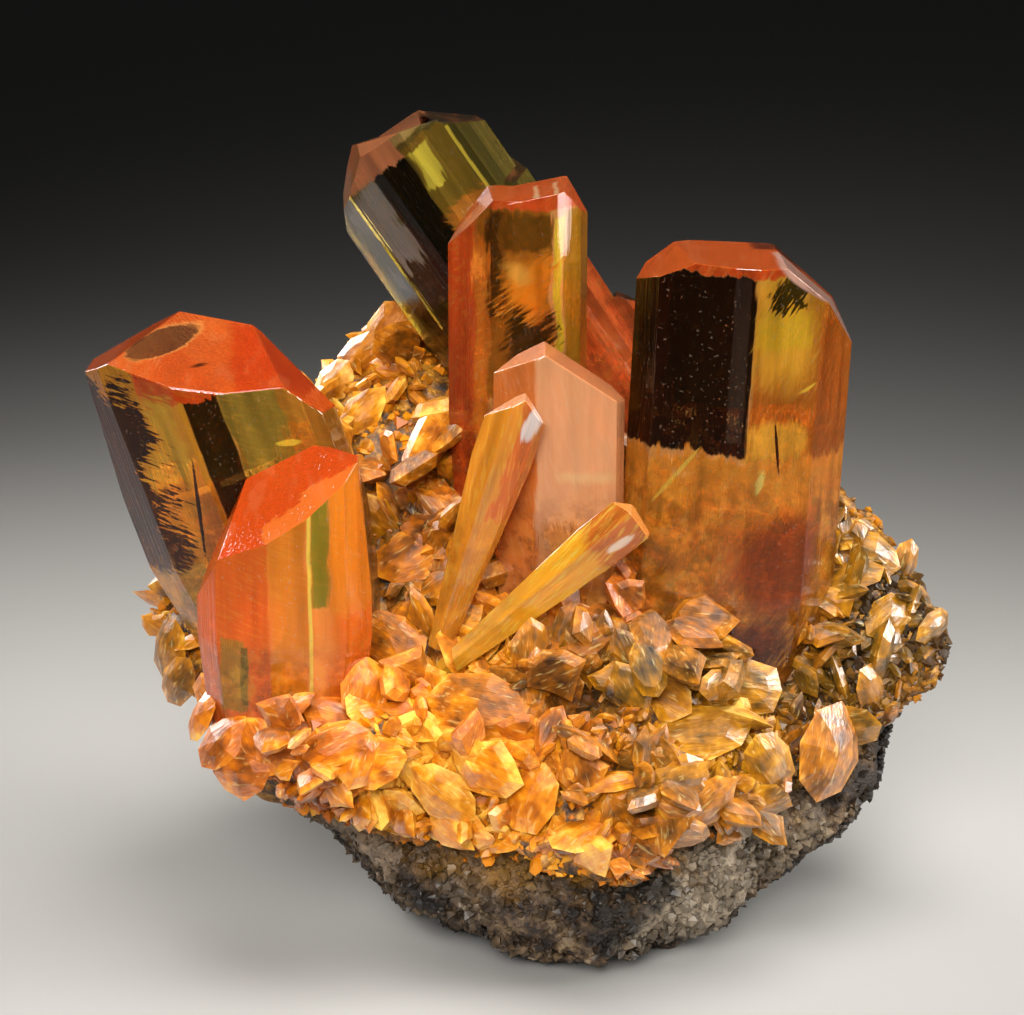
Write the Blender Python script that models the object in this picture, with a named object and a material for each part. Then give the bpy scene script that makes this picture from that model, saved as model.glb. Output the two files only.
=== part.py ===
"""Golden gypsum crystals on matrix: a free-standing mineral specimen.

A lump of grey rock carries a crust of small lens-shaped gypsum blades. Six large clear crystals
and two slim ones stand in that crust. The specimen rests on a flat sawn patch of the rock.
+Z is up, the front faces -Y, and the origin is the middle of the flat patch.
"""

import math
import random

import bmesh
import bpy
from mathutils import Matrix, Vector

# Lengths in the tables below are in millimetres.
MM = 0.001
# Clearance between any two pieces, so that their faces never overlap.
GAP = 0.3
# Between rock and crust it is measured along rays that can slant, so it is set wider.
ROCK_CLEARANCE = 0.5
# Columns are extruded to this height before their end faces cut them.
UNCUT_HEIGHT = 200
# A corner of an outline moves out by more than the faces beside it.
CORNER_REACH = 1.25

# The rock is a slab that leans back, on rounded masses.
SLAB_CENTRE = Vector((-3, 8, 44))
SLAB_LEAN = 37
SLAB_FRONT_DEPTH = 11
SLAB_BACK_DEPTH = 33
SLAB_ROUNDNESS = 2.3
# Distance from the slab's centre to its rim, by the angle round it from the +X side.
RIM = (
    (0, 55), (25, 46), (50, 37), (75, 37), (100, 44), (125, 48), (150, 47), (180, 54),
    (205, 49), (230, 46), (255, 44), (280, 43), (305, 49), (335, 56),
)
# Rounded masses joined to the slab, as (centre, radii): the foot and the shoulder at its left.
MOUNDS = (
    ((2, 4, 20), (32, 36, 26)),
    ((-30, -12, 34.5), (14, 16, 8)),
)
MOUND_BLEND = 6.0
# Every part of the rock's surface is seen from this point inside it, and is nearer than the reach.
ROCK_CENTRE = Vector((-1, 7, 34))
ROCK_REACH = 100
HALVINGS = 20
# Lumps of the rock, as (height, width).
ROCK_LUMPS = ((1.9, 17), (1.1, 8))
ROCK_DETAIL = 4

# The crust covers the rock above a plane that rises to the back and to the right.
CRUST_DEPTH = 5.5
CRUST_HIDDEN_DEPTH = -2.5
CRUST_EDGE_POINT = Vector((0, -36, 17))
CRUST_EDGE_NORMAL = Vector((-0.10, -0.36, 0.92)).normalized()
CRUST_EDGE_WAVE = 4
CRUST_EDGE_WAVE_WIDTH = 13
CRUST_EDGE_SOFTNESS = 2.5
CRUST_LUMP_HEIGHT = 1.4
CRUST_LUMP_WIDTH = 6
CRUST_DETAIL = 4

# The largest blades of the crust, as (middle, (length, width, thickness), (facing, rise, spin)).
# The flat side faces that many degrees round to the right of the front and rises that many above
# level. Spin turns the length up from level within the flat side.
LARGE_BLADES = (
    ((17, -15.5, 44.8), (12.5, 10, 3.2), (20, 25, 10)),
    ((26, -16, 41.5), (12, 9, 3.2), (15, 20, -10)),
    ((38.5, -16, 31.5), (15, 12, 5), (35, 10, 65)),
    ((12.8, -21.5, 42), (11, 8, 3), (-20, 40, -20)),
    ((19, -24, 37.4), (16, 9, 3.4), (10, 45, 5)),
    ((-13.2, -24.5, 41), (17, 11, 4), (-15, 35, -8)),
    ((5.4, -34, 33.5), (10, 5, 2.4), (5, 70, 10)),
    ((-6.3, -34, 31), (11, 9, 3), (-25, 15, 70)),
    ((-61, -1, 43), (10, 7, 2.4), (-40, 5, 75)),
    ((-59.5, -4, 38.5), (9, 6, 2.4), (-30, 0, 60)),
    ((-32, 18, 75.5), (10, 6, 3), (-10, 35, 55)),
    ((-28.5, 30, 85.5), (12, 8, 2.8), (-15, 10, 65)),
    ((-24, 31, 87), (11, 8, 2.8), (10, 5, 80)),
    ((-19.5, 32, 85.5), (10, 7, 2.6), (-5, 20, 50)),
    ((-33, 29.5, 82), (11, 7, 2.8), (-30, 15, 40)),
    ((-37, 25.5, 78), (10, 7, 2.8), (-35, 20, 60)),
    ((55, 11, 54.5), (9, 5, 2.8), (20, 0, 70)),
    ((57, 1, 47), (9, 4.4, 2.6), (40, 10, 20)),
    ((57.5, 4, 43), (9, 4.6, 2.6), (30, 5, -25)),
    ((48.5, -1, 47.6), (9, 7, 3), (20, 30, 30)),
    ((45.5, -8, 38.4), (10, 7, 3), (50, 0, -50)),
    ((19, -31.6, 29.2), (11, 8, 3), (20, -10, 35)),
    ((7, -36.5, 26.5), (10, 8, 3), (0, -5, 85)),
    ((-18.4, -32, 30.8), (12, 8, 3), (-20, 0, -35)),
    ((-28.6, -32, 35.6), (12, 8, 3), (-35, 25, 20)),
    ((-37.2, -29.5, 35), (12, 7, 3), (-60, 0, 50)),
    ((-46.5, -13.5, 35.4), (11, 7, 2.8), (-70, 10, 60)),
    ((9, -9, 52.5), (9, 6, 2.6), (10, 50, 15)),
    ((-24, -0.5, 57.5), (13, 9, 3), (-10, 40, 35)),
    ((-26.5, -12.6, 48), (13, 8, 3), (-20, 30, -25)),
    ((46.5, 5, 56), (11, 7, 3), (20, 30, -30)),
    ((29, -22.5, 32.2), (12, 8, 3), (30, -5, -60)),
)
# Smaller blades between them, set at random but always alike.
BLADE_SEED = 11
BLADE_COUNT = 112
BLADE_LENGTHS = (8, 14)
BLADE_WIDTH_SHARES = (0.5, 0.8)
BLADE_THICKNESS_SHARE = 0.26
BLADE_SPREAD = 0.9
BLADE_SPACING = 5

# Large crystals. Each column of a crystal is a prism with an outline across its axis, (right, back)
# from the axis. Its end faces are (facing, slope, height): facing in degrees round the axis from
# the front by way of the right, slope in degrees from square to the axis, and the height at which
# the face would cross the axis above the foot. waist is (height, width there, width at the root).
CRYSTALS = {
    "crystal_right": {
        "foot": (22.9, -3, 45), "lean": (2.7, 0), "bury": 9,
        "tint": (0.55, 0.17, 0.02),
        "columns": [
            {
                "outline": [(-16, -1), (-12.8, -5.8), (-2.2, -10.2), (1.3, -10.4), (11, -6.8),
                            (16.6, 1), (14, 8), (3, 11), (-8, 10.5), (-14.5, 5)],
                "ends": [(0, 1, 58.9), (280, 29, 63.8), (90, 38, 62.9), (85, 60, 75)],
                "waist": (9, 1.0, 0.84),
            },
        ],
    },
    "crystal_centre": {
        "foot": (-7.8, 6, 58), "lean": (0, 0), "bury": 9,
        "tint": (0.75, 0.16, 0.02),
        "columns": [
            {
                "outline": [(-10.5, 0), (-6.7, -4.6), (-1.8, -7), (3, -6.6), (4, 5), (-3, 7.5),
                            (-8.5, 5)],
                "ends": [(275, 50, 58.5), (0, 1, 53.6)],
                "waist": (20, 1.0, 0.84),
            },
            {
                "outline": [(-1.8, -7), (5.7, -7), (9.3, -3.5), (10.4, 1), (7, 6.5), (-1, 7)],
                "ends": [(280, 12, 53.6), (85, 54, 64.8)],
                "waist": (20, 1.0, 0.86),
            },
        ],
    },
    "crystal_back": {
        "foot": (-1, 22, 76), "lean": (-35, 4), "bury": 10,
        "tint": (0.45, 0.22, 0.04),
        "columns": [
            {
                "outline": [(-12.3, 1), (-8, -6), (-1.2, -8.5), (4.4, -8.5), (10, -5), (10, 3),
                            (4, 8.5), (-7, 8)],
                "ends": [(10, 11, 51), (275, 61, 63), (285, 42, 53.7), (95, 17, 50.4)],
                "waist": (20, 1.0, 0.9),
            },
            {
                "outline": [(5, -7), (12, -6), (15.4, 2), (14, 9), (6, 10), (0, 6)],
                "ends": [(40, 10, 49.5), (88, 39, 55.4)],
                "waist": (20, 1.0, 0.95),
            },
            {
                "outline": [(9, -4.5), (14.5, -4), (16.6, 1), (15, 6), (9, 6)],
                "ends": [(60, 40, 44.9)],
                "waist": (20, 1.0, 0.95),
            },
            {
                "outline": [(13, -2), (18, -2.2), (19.4, 0.5), (18, 3), (13, 3)],
                "ends": [(270, 10, 6.2), (90, 55, 33.5)],
                "waist": (4, 1.0, 0.95),
            },
        ],
    },
    "crystal_left": {
        "foot": (-43.3, -3.4, 50.4), "lean": (-19, 0), "bury": 10,
        "tint": (0.60, 0.22, 0.03),
        "columns": [
            {
                "outline": [(-17, 0), (-12.2, -6), (-2.3, -10.5), (4.6, -10), (16.4, -4),
                            (17.6, 3), (10, 10), (-5, 11), (-15, 6)],
                "ends": [(55, 33, 41.6), (85, 58, 53.6), (270, 8, 46), (270, 84, 185)],
                "waist": (12, 1.0, 0.76),
            },
        ],
    },
    "crystal_front_left": {
        "foot": (-42, -21.5, 41.4), "lean": (0, 0), "bury": 8,
        "tint": (0.85, 0.22, 0.02),
        "columns": [
            {
                "outline": [(-12.3, 0), (-9, -5), (-1.4, -7), (4.3, -6.5), (9.5, -4), (13, 1),
                            (7, 5.6), (-5, 6.4), (-11, 4.6)],
                "ends": [(318, 40, 30.8), (275, 65, 42), (60, 5, 37), (90, 85, 165)],
                "waist": (10, 1.0, 0.84),
            },
        ],
    },
    "crystal_front": {
        "foot": (-2, -7, 52), "lean": (0, -3), "bury": 8,
        "tint": (0.85, 0.40, 0.16),
        "columns": [
            {
                "outline": [(-9.5, 0), (-3.1, -4.4), (8.5, -3.8), (9.9, 0.5), (8, 3.5), (-6, 4)],
                "ends": [(90, 34, 38.1), (270, 27, 40.4)],
                "waist": (10, 1.0, 0.84),
            },
        ],
    },
    "blade_steep": {
        "foot": (-17.6, -15, 52.8), "lean": (18, -2), "bury": 6,
        "tint": (0.80, 0.36, 0.05),
        "columns": [
            {
                "outline": [(-4.7, 0), (-1.5, -2.6), (3, -1.8), (4.3, 0.8), (-1, 2.4)],
                "ends": [(90, 39, 34.8), (270, 44, 34.6)],
                "waist": (24, 1.0, 0.4),
            },
        ],
    },
    "blade_leaning": {
        "foot": (-14.5, -17, 48), "lean": (49, -6), "bury": 6,
        "tint": (0.85, 0.42, 0.07),
        "columns": [
            {
                "outline": [(-4.2, 0), (-1.5, -2.4), (3, -1.6), (3.3, 1.2), (-1, 2.4)],
                "ends": [(90, 8, 31.8), (270, 30, 33)],
                "waist": (24, 1.0, 0.4),
            },
        ],
    },
}

SLAB_UP = Vector((0, math.sin(math.radians(SLAB_LEAN)), math.cos(math.radians(SLAB_LEAN))))
SLAB_FRONT = Vector((0, -math.cos(math.radians(SLAB_LEAN)), math.sin(math.radians(SLAB_LEAN))))


def clear_scene():
    for obj in list(bpy.data.objects):
        bpy.data.objects.remove(obj)


def new_collection(name):
    collection = bpy.data.collections.new(name)
    bpy.context.scene.collection.children.link(collection)
    return collection


def new_object(name, bm, collection):
    """A mesh object from a bmesh whose points are in millimetres."""
    bmesh.ops.scale(bm, vec=(MM, MM, MM), verts=bm.verts)
    mesh = bpy.data.meshes.new(name)
    bm.to_mesh(mesh)
    bm.free()
    obj = bpy.data.objects.new(name, mesh)
    collection.objects.link(obj)
    return obj


def make_cutter(obj):
    obj.hide_render = True
    obj.display_type = "WIRE"
    return obj


def smooth_step(value, low, high):
    share = min(1.0, max(0.0, (value - low) / (high - low)))
    return share * share * (3 - 2 * share)


def lumps(point, width):
    """A smooth field between -1 and 1 with lumps of about the given width: crossed bent waves."""
    x, y, z = point * (math.pi / width)
    first = math.sin(x + 1.3 * math.sin(0.9 * y + 0.4))
    second = math.sin(1.1 * y + 1.5 * math.sin(0.8 * z + 1.0))
    third = math.sin(0.95 * z + 1.4 * math.sin(1.2 * x + 2.0))
    return (first + second + third) / 3


def rim_radius(angle):
    """The slab's rim radius at an angle in degrees, eased between the stated angles."""
    angle %= 360
    stops = RIM + ((360, RIM[0][1]),)
    for (low, radius), (high, next_radius) in zip(stops, stops[1:]):
        if low <= angle <= high:
            return radius + (next_radius - radius) * smooth_step(angle, low, high)


def slab_distance(point):
    """About how far a point is outside the leaning slab, negative inside it."""
    offset = point - SLAB_CENTRE
    side, up, front = offset.x, offset.dot(SLAB_UP), offset.dot(SLAB_FRONT)
    spread = math.hypot(side, up) / rim_radius(math.degrees(math.atan2(up, side)))
    depth = SLAB_FRONT_DEPTH if front > 0 else SLAB_BACK_DEPTH
    power = SLAB_ROUNDNESS
    return ((spread**power + (abs(front) / depth) ** power) ** (1 / power) - 1) * depth


def mound_distance(point, centre, radii):
    """About how far a point is outside an ellipsoid, negative inside it."""
    offset = Vector((point[i] - centre[i]) / radii[i] for i in range(3))
    return (offset.length - 1) * min(radii)


def rock_distance(point):
    """The least of the distances to slab and mounds, eased where two are alike."""
    nearest = slab_distance(point)
    for centre, radii in MOUNDS:
        mound = mound_distance(point, centre, radii)
        blend = max(0.0, MOUND_BLEND - abs(nearest - mound)) ** 2 / (4 * MOUND_BLEND)
        nearest = min(nearest, mound) - blend
    return nearest


def rock_radius(direction):
    """Distance from the rock's centre to its surface, found by halving, with low lumps."""
    inside, outside = 0.0, ROCK_REACH
    for _ in range(HALVINGS):
        middle = (inside + outside) / 2
        if rock_distance(ROCK_CENTRE + direction * middle) < 0:
            inside = middle
        else:
            outside = middle
    point = ROCK_CENTRE + direction * inside
    for height, width in ROCK_LUMPS:
        inside += height * lumps(point, width)
    return inside


def crust_depth(point):
    """How far the crust stands out from the rock at a point on it: negative where it is bare."""
    wave = CRUST_EDGE_WAVE * lumps(point, CRUST_EDGE_WAVE_WIDTH)
    above = (point - CRUST_EDGE_POINT).dot(CRUST_EDGE_NORMAL) + wave
    covered = smooth_step(above, -CRUST_EDGE_SOFTNESS, CRUST_EDGE_SOFTNESS)
    lump = CRUST_LUMP_HEIGHT * lumps(point, CRUST_LUMP_WIDTH)
    return CRUST_HIDDEN_DEPTH + (CRUST_DEPTH - CRUST_HIDDEN_DEPTH + lump) * covered


def rock_ball(detail, extra):
    """A ball of triangles pushed out to the rock's radius plus extra(point on the rock)."""
    bm = bmesh.new()
    bmesh.ops.create_icosphere(bm, subdivisions=detail, radius=1)
    for vert in bm.verts:
        direction = vert.co.normalized()
        radius = rock_radius(direction)
        on_rock = ROCK_CENTRE + direction * radius
        vert.co = on_rock + direction * extra(on_rock)
    return bm


def flatten_base(bm):
    """Cuts everything below the floor away and closes the cut with one flat face."""
    cut_end(bm, (0, 0, 0), (0, 0, -1))


def end_normal(facing, slope):
    """Outward direction of an end face, in the crystal's own axes: right, back and up its axis."""
    facing, slope = math.radians(facing), math.radians(slope)
    return Vector((
        math.sin(facing) * math.sin(slope), -math.cos(facing) * math.sin(slope), math.cos(slope),
    ))


def cut_end(bm, point, normal):
    """Cuts away what lies beyond a plane and closes the cut with one flat face."""
    cut = bmesh.ops.bisect_plane(
        bm, geom=bm.verts[:] + bm.edges[:] + bm.faces[:], dist=1e-6,
        plane_co=point, plane_no=normal, clear_outer=True,
    )
    edges = [item for item in cut["geom_cut"] if isinstance(item, bmesh.types.BMEdge)]
    if edges:
        bmesh.ops.edgeloop_fill(bm, edges=edges)


def column_mesh(column, bury, grow):
    """A prism extruded from its outline, narrower at the root, and cut by its end faces.

    grow moves every face outwards.
    """
    outline = [Vector((x, y, 0)) for x, y in column["outline"]]
    middle = sum(outline, Vector()) / len(outline)

    def section(height, width):
        points = []
        for point in outline:
            out = (point - middle) * width
            out += out.normalized() * grow * CORNER_REACH
            points.append(middle * width + out + Vector((0, 0, height)))
        return points

    waist_height, waist_width, root_width = column["waist"]
    bm = bmesh.new()
    below = section(-bury - grow, root_width)
    root = top = bm.faces.new([bm.verts.new(point) for point in below])
    for height, width in ((waist_height, waist_width), (UNCUT_HEIGHT, 1.0)):
        extruded = bmesh.ops.extrude_face_region(bm, geom=[top])
        if top is not root:
            bm.faces.remove(top)
        top = next(item for item in extruded["geom"] if isinstance(item, bmesh.types.BMFace))
        above = section(height, width)
        for vert in top.verts:
            corner = min(range(len(below)), key=lambda i: (vert.co - below[i]).length)
            vert.co = above[corner]
        below = above
    bmesh.ops.recalc_face_normals(bm, faces=bm.faces)
    for facing, slope, height in column["ends"]:
        normal = end_normal(facing, slope)
        cut_end(bm, Vector((0, 0, height)) + normal * grow, normal)
    bmesh.ops.recalc_face_normals(bm, faces=bm.faces)
    return bm


def crystal_columns(name, grow, collection):
    """One object for each column of a crystal, standing at its foot and leaning as it does."""
    crystal = CRYSTALS[name]
    lean_right, lean_back = (math.radians(angle) for angle in crystal["lean"])
    turn = Matrix.Rotation(lean_right, 3, "Y") @ Matrix.Rotation(-lean_back, 3, "X")
    objects = []
    for number, column in enumerate(crystal["columns"]):
        bm = column_mesh(column, crystal["bury"], grow)
        obj = new_object(f"{name}_column_{number}_{grow}", bm, collection)
        obj.location = Vector(crystal["foot"]) * MM
        obj.rotation_euler = turn.to_euler()
        objects.append(obj)
    bpy.context.view_layer.update()
    return objects


def boolean(obj, other, operation, self_union=False):
    modifier = obj.modifiers.new(operation.title(), "BOOLEAN")
    modifier.operation = operation
    modifier.solver = "EXACT"
    modifier.use_self = self_union
    if isinstance(other, bpy.types.Collection):
        modifier.operand_type = "COLLECTION"
        modifier.collection = other
    else:
        modifier.object = other
    return modifier


def bake(obj):
    """Replaces an object's mesh by what its modifiers make of it."""
    graph = bpy.context.evaluated_depsgraph_get()
    mesh = bpy.data.meshes.new_from_object(obj.evaluated_get(graph))
    obj.modifiers.clear()
    obj.data = mesh


def keep_largest_body(obj):
    """Removes the crumbs that a cut has left beside the main body."""
    bm = bmesh.new()
    bm.from_mesh(obj.data)
    left = set(bm.verts)
    bodies = []
    while left:
        body, edge_of_body = set(), [left.pop()]
        while edge_of_body:
            vert = edge_of_body.pop()
            body.add(vert)
            for edge in vert.link_edges:
                other = edge.other_vert(vert)
                if other in left:
                    left.remove(other)
                    edge_of_body.append(other)
        bodies.append(body)
    bodies.sort(key=len)
    for body in bodies[:-1]:
        bmesh.ops.delete(bm, geom=list(body), context="VERTS")
    bm.to_mesh(obj.data)
    bm.free()


def add_blade(whole, size, place):
    """Adds a lens-shaped blade: an eight-sided rim with a low peak on each flat side."""
    blade = bmesh.new()
    bmesh.ops.create_uvsphere(blade, u_segments=8, v_segments=2, radius=0.5)
    bmesh.ops.scale(blade, vec=size, verts=blade.verts)
    blade.transform(place)
    mesh = bpy.data.meshes.new("blade")
    blade.to_mesh(mesh)
    blade.free()
    whole.from_mesh(mesh)
    bpy.data.meshes.remove(mesh)


def blade_turn(facing, rise, spin):
    """The turn of a large blade, whose length is X and flat side Z, from its three angles."""
    facing, rise, spin = (math.radians(angle) for angle in (facing, rise, spin))
    flat = Vector((
        math.sin(facing) * math.cos(rise), -math.cos(facing) * math.cos(rise), math.sin(rise),
    ))
    level = Vector((math.cos(facing), math.sin(facing), 0))
    along = level * math.cos(spin) + flat.cross(level) * math.sin(spin)
    return Matrix((along, flat.cross(along), flat)).transposed()


def random_direction(draw):
    return Vector((draw.gauss(0, 1), draw.gauss(0, 1), draw.gauss(0, 1))).normalized()


def small_blades(taken):
    """(middle, size, turn) of each small blade, standing out of the crust between those taken."""
    draw = random.Random(BLADE_SEED)
    blades = []
    while len(blades) < BLADE_COUNT:
        direction = random_direction(draw)
        on_rock = ROCK_CENTRE + direction * rock_radius(direction)
        depth = crust_depth(on_rock)
        length = draw.uniform(*BLADE_LENGTHS)
        middle = on_rock + direction * (depth + 0.08 * length)
        crowded = any((middle - other).length < BLADE_SPACING for other in taken)
        if depth < CRUST_DEPTH - CRUST_LUMP_HEIGHT or crowded:
            continue
        taken.append(middle)
        along = (direction + random_direction(draw) * BLADE_SPREAD * draw.random()).normalized()
        across = along.cross(random_direction(draw)).normalized()
        width = length * draw.uniform(*BLADE_WIDTH_SHARES)
        turn = Matrix((along, across, along.cross(across))).transposed()
        blades.append((middle, (length, width, length * BLADE_THICKNESS_SHARE), turn))
    return blades


def crust_blades(collection):
    """All the blades of the crust, as one mesh of crossing bodies."""
    whole = bmesh.new()
    taken = []
    for middle, size, angles in LARGE_BLADES:
        taken.append(Vector(middle))
        add_blade(whole, size, Matrix.Translation(middle) @ blade_turn(*angles).to_4x4())
    for middle, size, turn in small_blades(taken):
        add_blade(whole, size, Matrix.Translation(middle) @ turn.to_4x4())
    return make_cutter(new_object("crust_blades", whole, collection))


def material(name, colour, roughness, transmission=0.0):
    result = bpy.data.materials.new(name)
    result.use_nodes = True
    shader = result.node_tree.nodes["Principled BSDF"]
    shader.inputs["Base Color"].default_value = (*colour, 1)
    shader.inputs["Roughness"].default_value = roughness
    shader.inputs["Transmission Weight"].default_value = transmission
    shader.inputs["IOR"].default_value = 1.52
    return result


def build_crystal(name, parts, helpers, sockets):
    """One crystal, its columns joined, and the sockets that it leaves in rock and crust."""
    for socket in crystal_columns(name, GAP, sockets):
        make_cutter(socket)
    crystal, *others = crystal_columns(name, 0, parts)
    crystal.name = name
    tint = CRYSTALS[name]["tint"]
    crystal.data.materials.append(material(f"{name}_gypsum", tint, 0.05, 0.9))
    for other in others:
        parts.objects.unlink(other)
        helpers.objects.link(make_cutter(other))
        boolean(crystal, other, "UNION")


def build_rock(parts, sockets):
    bm = rock_ball(ROCK_DETAIL, lambda point: 0)
    flatten_base(bm)
    rock = new_object("matrix", bm, parts)
    rock.data.materials.append(material("matrix_rock", (0.22, 0.18, 0.14), 0.9))
    boolean(rock, sockets, "DIFFERENCE")
    bake(rock)
    keep_largest_body(rock)


def build_crust(parts, helpers, sockets):
    """The crust: a ball joined with its blades, less the rock and the sockets in one cut."""
    crust = new_object("druse", rock_ball(CRUST_DETAIL, crust_depth), parts)
    crust.data.materials.append(material("druse_gypsum", (0.80, 0.42, 0.06), 0.25, 0.4))
    boolean(crust, crust_blades(helpers), "UNION", self_union=True)
    bake(crust)
    rock = rock_ball(ROCK_DETAIL, lambda point: ROCK_CLEARANCE)
    make_cutter(new_object("rock_and_clearance", rock, sockets))
    boolean(crust, sockets, "DIFFERENCE")
    bake(crust)
    keep_largest_body(crust)


def main():
    clear_scene()
    parts = new_collection("golden_gypsum")
    helpers = new_collection("joined_columns_and_blades")
    sockets = new_collection("cutters")
    for name in CRYSTALS:
        build_crystal(name, parts, helpers, sockets)
    build_rock(parts, sockets)
    build_crust(parts, helpers, sockets)


if __name__ == "__main__":
    main()
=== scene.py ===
"""Golden gypsum crystals on matrix: the finished specimen, in the frame of its solids.

Lengths in the tables are in millimetres. +Z is up and the front faces -Y.
"""
import math
import random

import bmesh
import bpy
import numpy as np
from mathutils import Euler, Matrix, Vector


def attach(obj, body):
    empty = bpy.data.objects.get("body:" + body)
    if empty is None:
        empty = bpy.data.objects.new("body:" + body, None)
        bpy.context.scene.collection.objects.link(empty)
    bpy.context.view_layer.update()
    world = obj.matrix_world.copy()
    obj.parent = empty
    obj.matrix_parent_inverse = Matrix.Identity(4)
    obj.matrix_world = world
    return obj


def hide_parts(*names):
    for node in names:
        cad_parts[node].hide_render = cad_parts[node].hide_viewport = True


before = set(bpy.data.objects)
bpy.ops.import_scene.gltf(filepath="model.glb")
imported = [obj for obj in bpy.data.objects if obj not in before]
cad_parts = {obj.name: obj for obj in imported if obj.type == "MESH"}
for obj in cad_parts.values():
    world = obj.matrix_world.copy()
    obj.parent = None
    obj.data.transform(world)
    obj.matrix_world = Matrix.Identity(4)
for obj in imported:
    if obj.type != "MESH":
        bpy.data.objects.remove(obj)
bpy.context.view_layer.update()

MM = 0.001
rng = np.random.default_rng(7)

# Rock: a slab that leans back, on rounded masses, seen from a point inside it.
SLAB_CENTRE = np.array((-3.0, 8.0, 44.0))
SLAB_LEAN = math.radians(37)
SLAB_FRONT_DEPTH = 11
SLAB_BACK_DEPTH = 33
SLAB_ROUNDNESS = 2.3
RIM_ANGLES = (0, 25, 50, 75, 100, 125, 150, 180, 205, 230, 255, 280, 305, 335, 360)
RIM_RADII = (55, 46, 37, 37, 44, 48, 47, 54, 49, 46, 44, 43, 49, 56, 55)
MOUNDS = (((2, 4, 20), (32, 36, 26)), ((-30, -12, 34.5), (14, 16, 8)))
MOUND_BLEND = 6.0
ROCK_CENTRE = np.array((-1.0, 7.0, 34.0))
ROCK_REACH = 100
HALVINGS = 20
ROCK_LUMPS = ((1.9, 17), (1.1, 8))
ROCK_GRID = (215, 430)
ROCK_SETBACK = 0.2
SLAB_UP = np.array((0, math.sin(SLAB_LEAN), math.cos(SLAB_LEAN)))
SLAB_FRONT = np.array((0, -math.cos(SLAB_LEAN), math.sin(SLAB_LEAN)))

# Roughness and drift, as layers (height, size, shift) of one lattice of random values.
LATTICE_SIZE = 32
LATTICE = np.random.default_rng(3).uniform(-1, 1, (LATTICE_SIZE,) * 3)
ROCK_RELIEF = ((0.9, 5, 0), (0.55, 2.2, 40), (0.28, 1.0, 120), (0.16, 0.6, 0))
PITS = ((1, 3.4, 80),)
PIT_RARITY = 0.35
PIT_DEPTH = 1.8
CRUST_RELIEF = ((0.9, 3.2, 0), (0.6, 1.6, 50), (0.3, 0.9, 0))
LIGHT_DRIFT = ((0.26, 12, 0), (0.12, 5, 30))
WARMTH_DRIFT = ((0.35, 16, 90),)

# Crust: how far it stands out of the rock above its lower edge.
CRUST_DEPTH = 5.5
CRUST_HIDDEN_DEPTH = -2.5
CRUST_EDGE_POINT = np.array((0.0, -36.0, 17.0))
CRUST_EDGE_NORMAL = np.array((-0.10, -0.36, 0.92))
CRUST_EDGE_NORMAL /= np.linalg.norm(CRUST_EDGE_NORMAL)
CRUST_EDGE_WAVE = 4
CRUST_EDGE_WAVE_WIDTH = 13
CRUST_EDGE_SOFTNESS = 2.5
CRUST_LUMP_HEIGHT = 1.4
CRUST_LUMP_WIDTH = 6
# The crust's ground: its grid (rows, columns), how many degrees it reaches round from the edge's
# upward direction, and how many last rows draw in by which share to close it inside the rock.
CRUST_GRID = (200, 420)
CRUST_REACH = 128
CLOSING_ROWS = 8
CLOSING_SHARE = 0.6

# Largest blades of the crust, as (middle, (length, width, thickness), (facing, rise, spin)).
LARGE_BLADES = (
    ((17, -15.5, 44.8), (12.5, 10, 3.2), (20, 25, 10)),
    ((26, -16, 41.5), (12, 9, 3.2), (15, 20, -10)),
    ((38.5, -16, 31.5), (15, 12, 5), (35, 10, 65)),
    ((12.8, -21.5, 42), (11, 8, 3), (-20, 40, -20)),
    ((19, -24, 37.4), (16, 9, 3.4), (10, 45, 5)),
    ((-13.2, -24.5, 41), (17, 11, 4), (-15, 35, -8)),
    ((5.4, -34, 33.5), (10, 5, 2.4), (5, 70, 10)),
    ((-6.3, -34, 31), (11, 9, 3), (-25, 15, 70)),
    ((-61, -1, 43), (10, 7, 2.4), (-40, 5, 75)),
    ((-59.5, -4, 38.5), (9, 6, 2.4), (-30, 0, 60)),
    ((-32, 18, 75.5), (10, 6, 3), (-10, 35, 55)),
    ((-28.5, 30, 85.5), (12, 8, 2.8), (-15, 10, 65)),
    ((-24, 31, 87), (11, 8, 2.8), (10, 5, 80)),
    ((-19.5, 32, 85.5), (10, 7, 2.6), (-5, 20, 50)),
    ((-33, 29.5, 82), (11, 7, 2.8), (-30, 15, 40)),
    ((-37, 25.5, 78), (10, 7, 2.8), (-35, 20, 60)),
    ((52, 9, 53.5), (8, 5, 2.8), (20, 0, 70)),
    ((55.6, 0, 46), (8, 4.4, 2.6), (40, 10, 20)),
    ((55, 2, 43), (8, 4.6, 2.6), (30, 5, -25)),
    ((48.5, -1, 47.6), (9, 7, 3), (20, 30, 30)),
    ((45.5, -8, 38.4), (10, 7, 3), (50, 0, -50)),
    ((19, -31.6, 29.2), (11, 8, 3), (20, -10, 35)),
    ((6, -34.5, 30), (9, 6, 2.6), (0, 20, 75)),
    ((-18.4, -32, 30.8), (12, 8, 3), (-20, 0, -35)),
    ((-28.6, -32, 35.6), (12, 8, 3), (-35, 25, 20)),
    ((-37.2, -29.5, 35), (12, 7, 3), (-60, 0, 50)),
    ((-46.5, -13.5, 35.4), (11, 7, 2.8), (-70, 10, 60)),
    ((9, -9, 52.5), (9, 6, 2.6), (10, 50, 15)),
    ((-24, -0.5, 57.5), (13, 9, 3), (-10, 40, 35)),
    ((-26.5, -12.6, 48), (13, 8, 3), (-20, 30, -25)),
    ((46.5, 5, 56), (11, 7, 3), (20, 30, -30)),
    ((29, -22.5, 32.2), (12, 8, 3), (30, -5, -60)),
)
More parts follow.
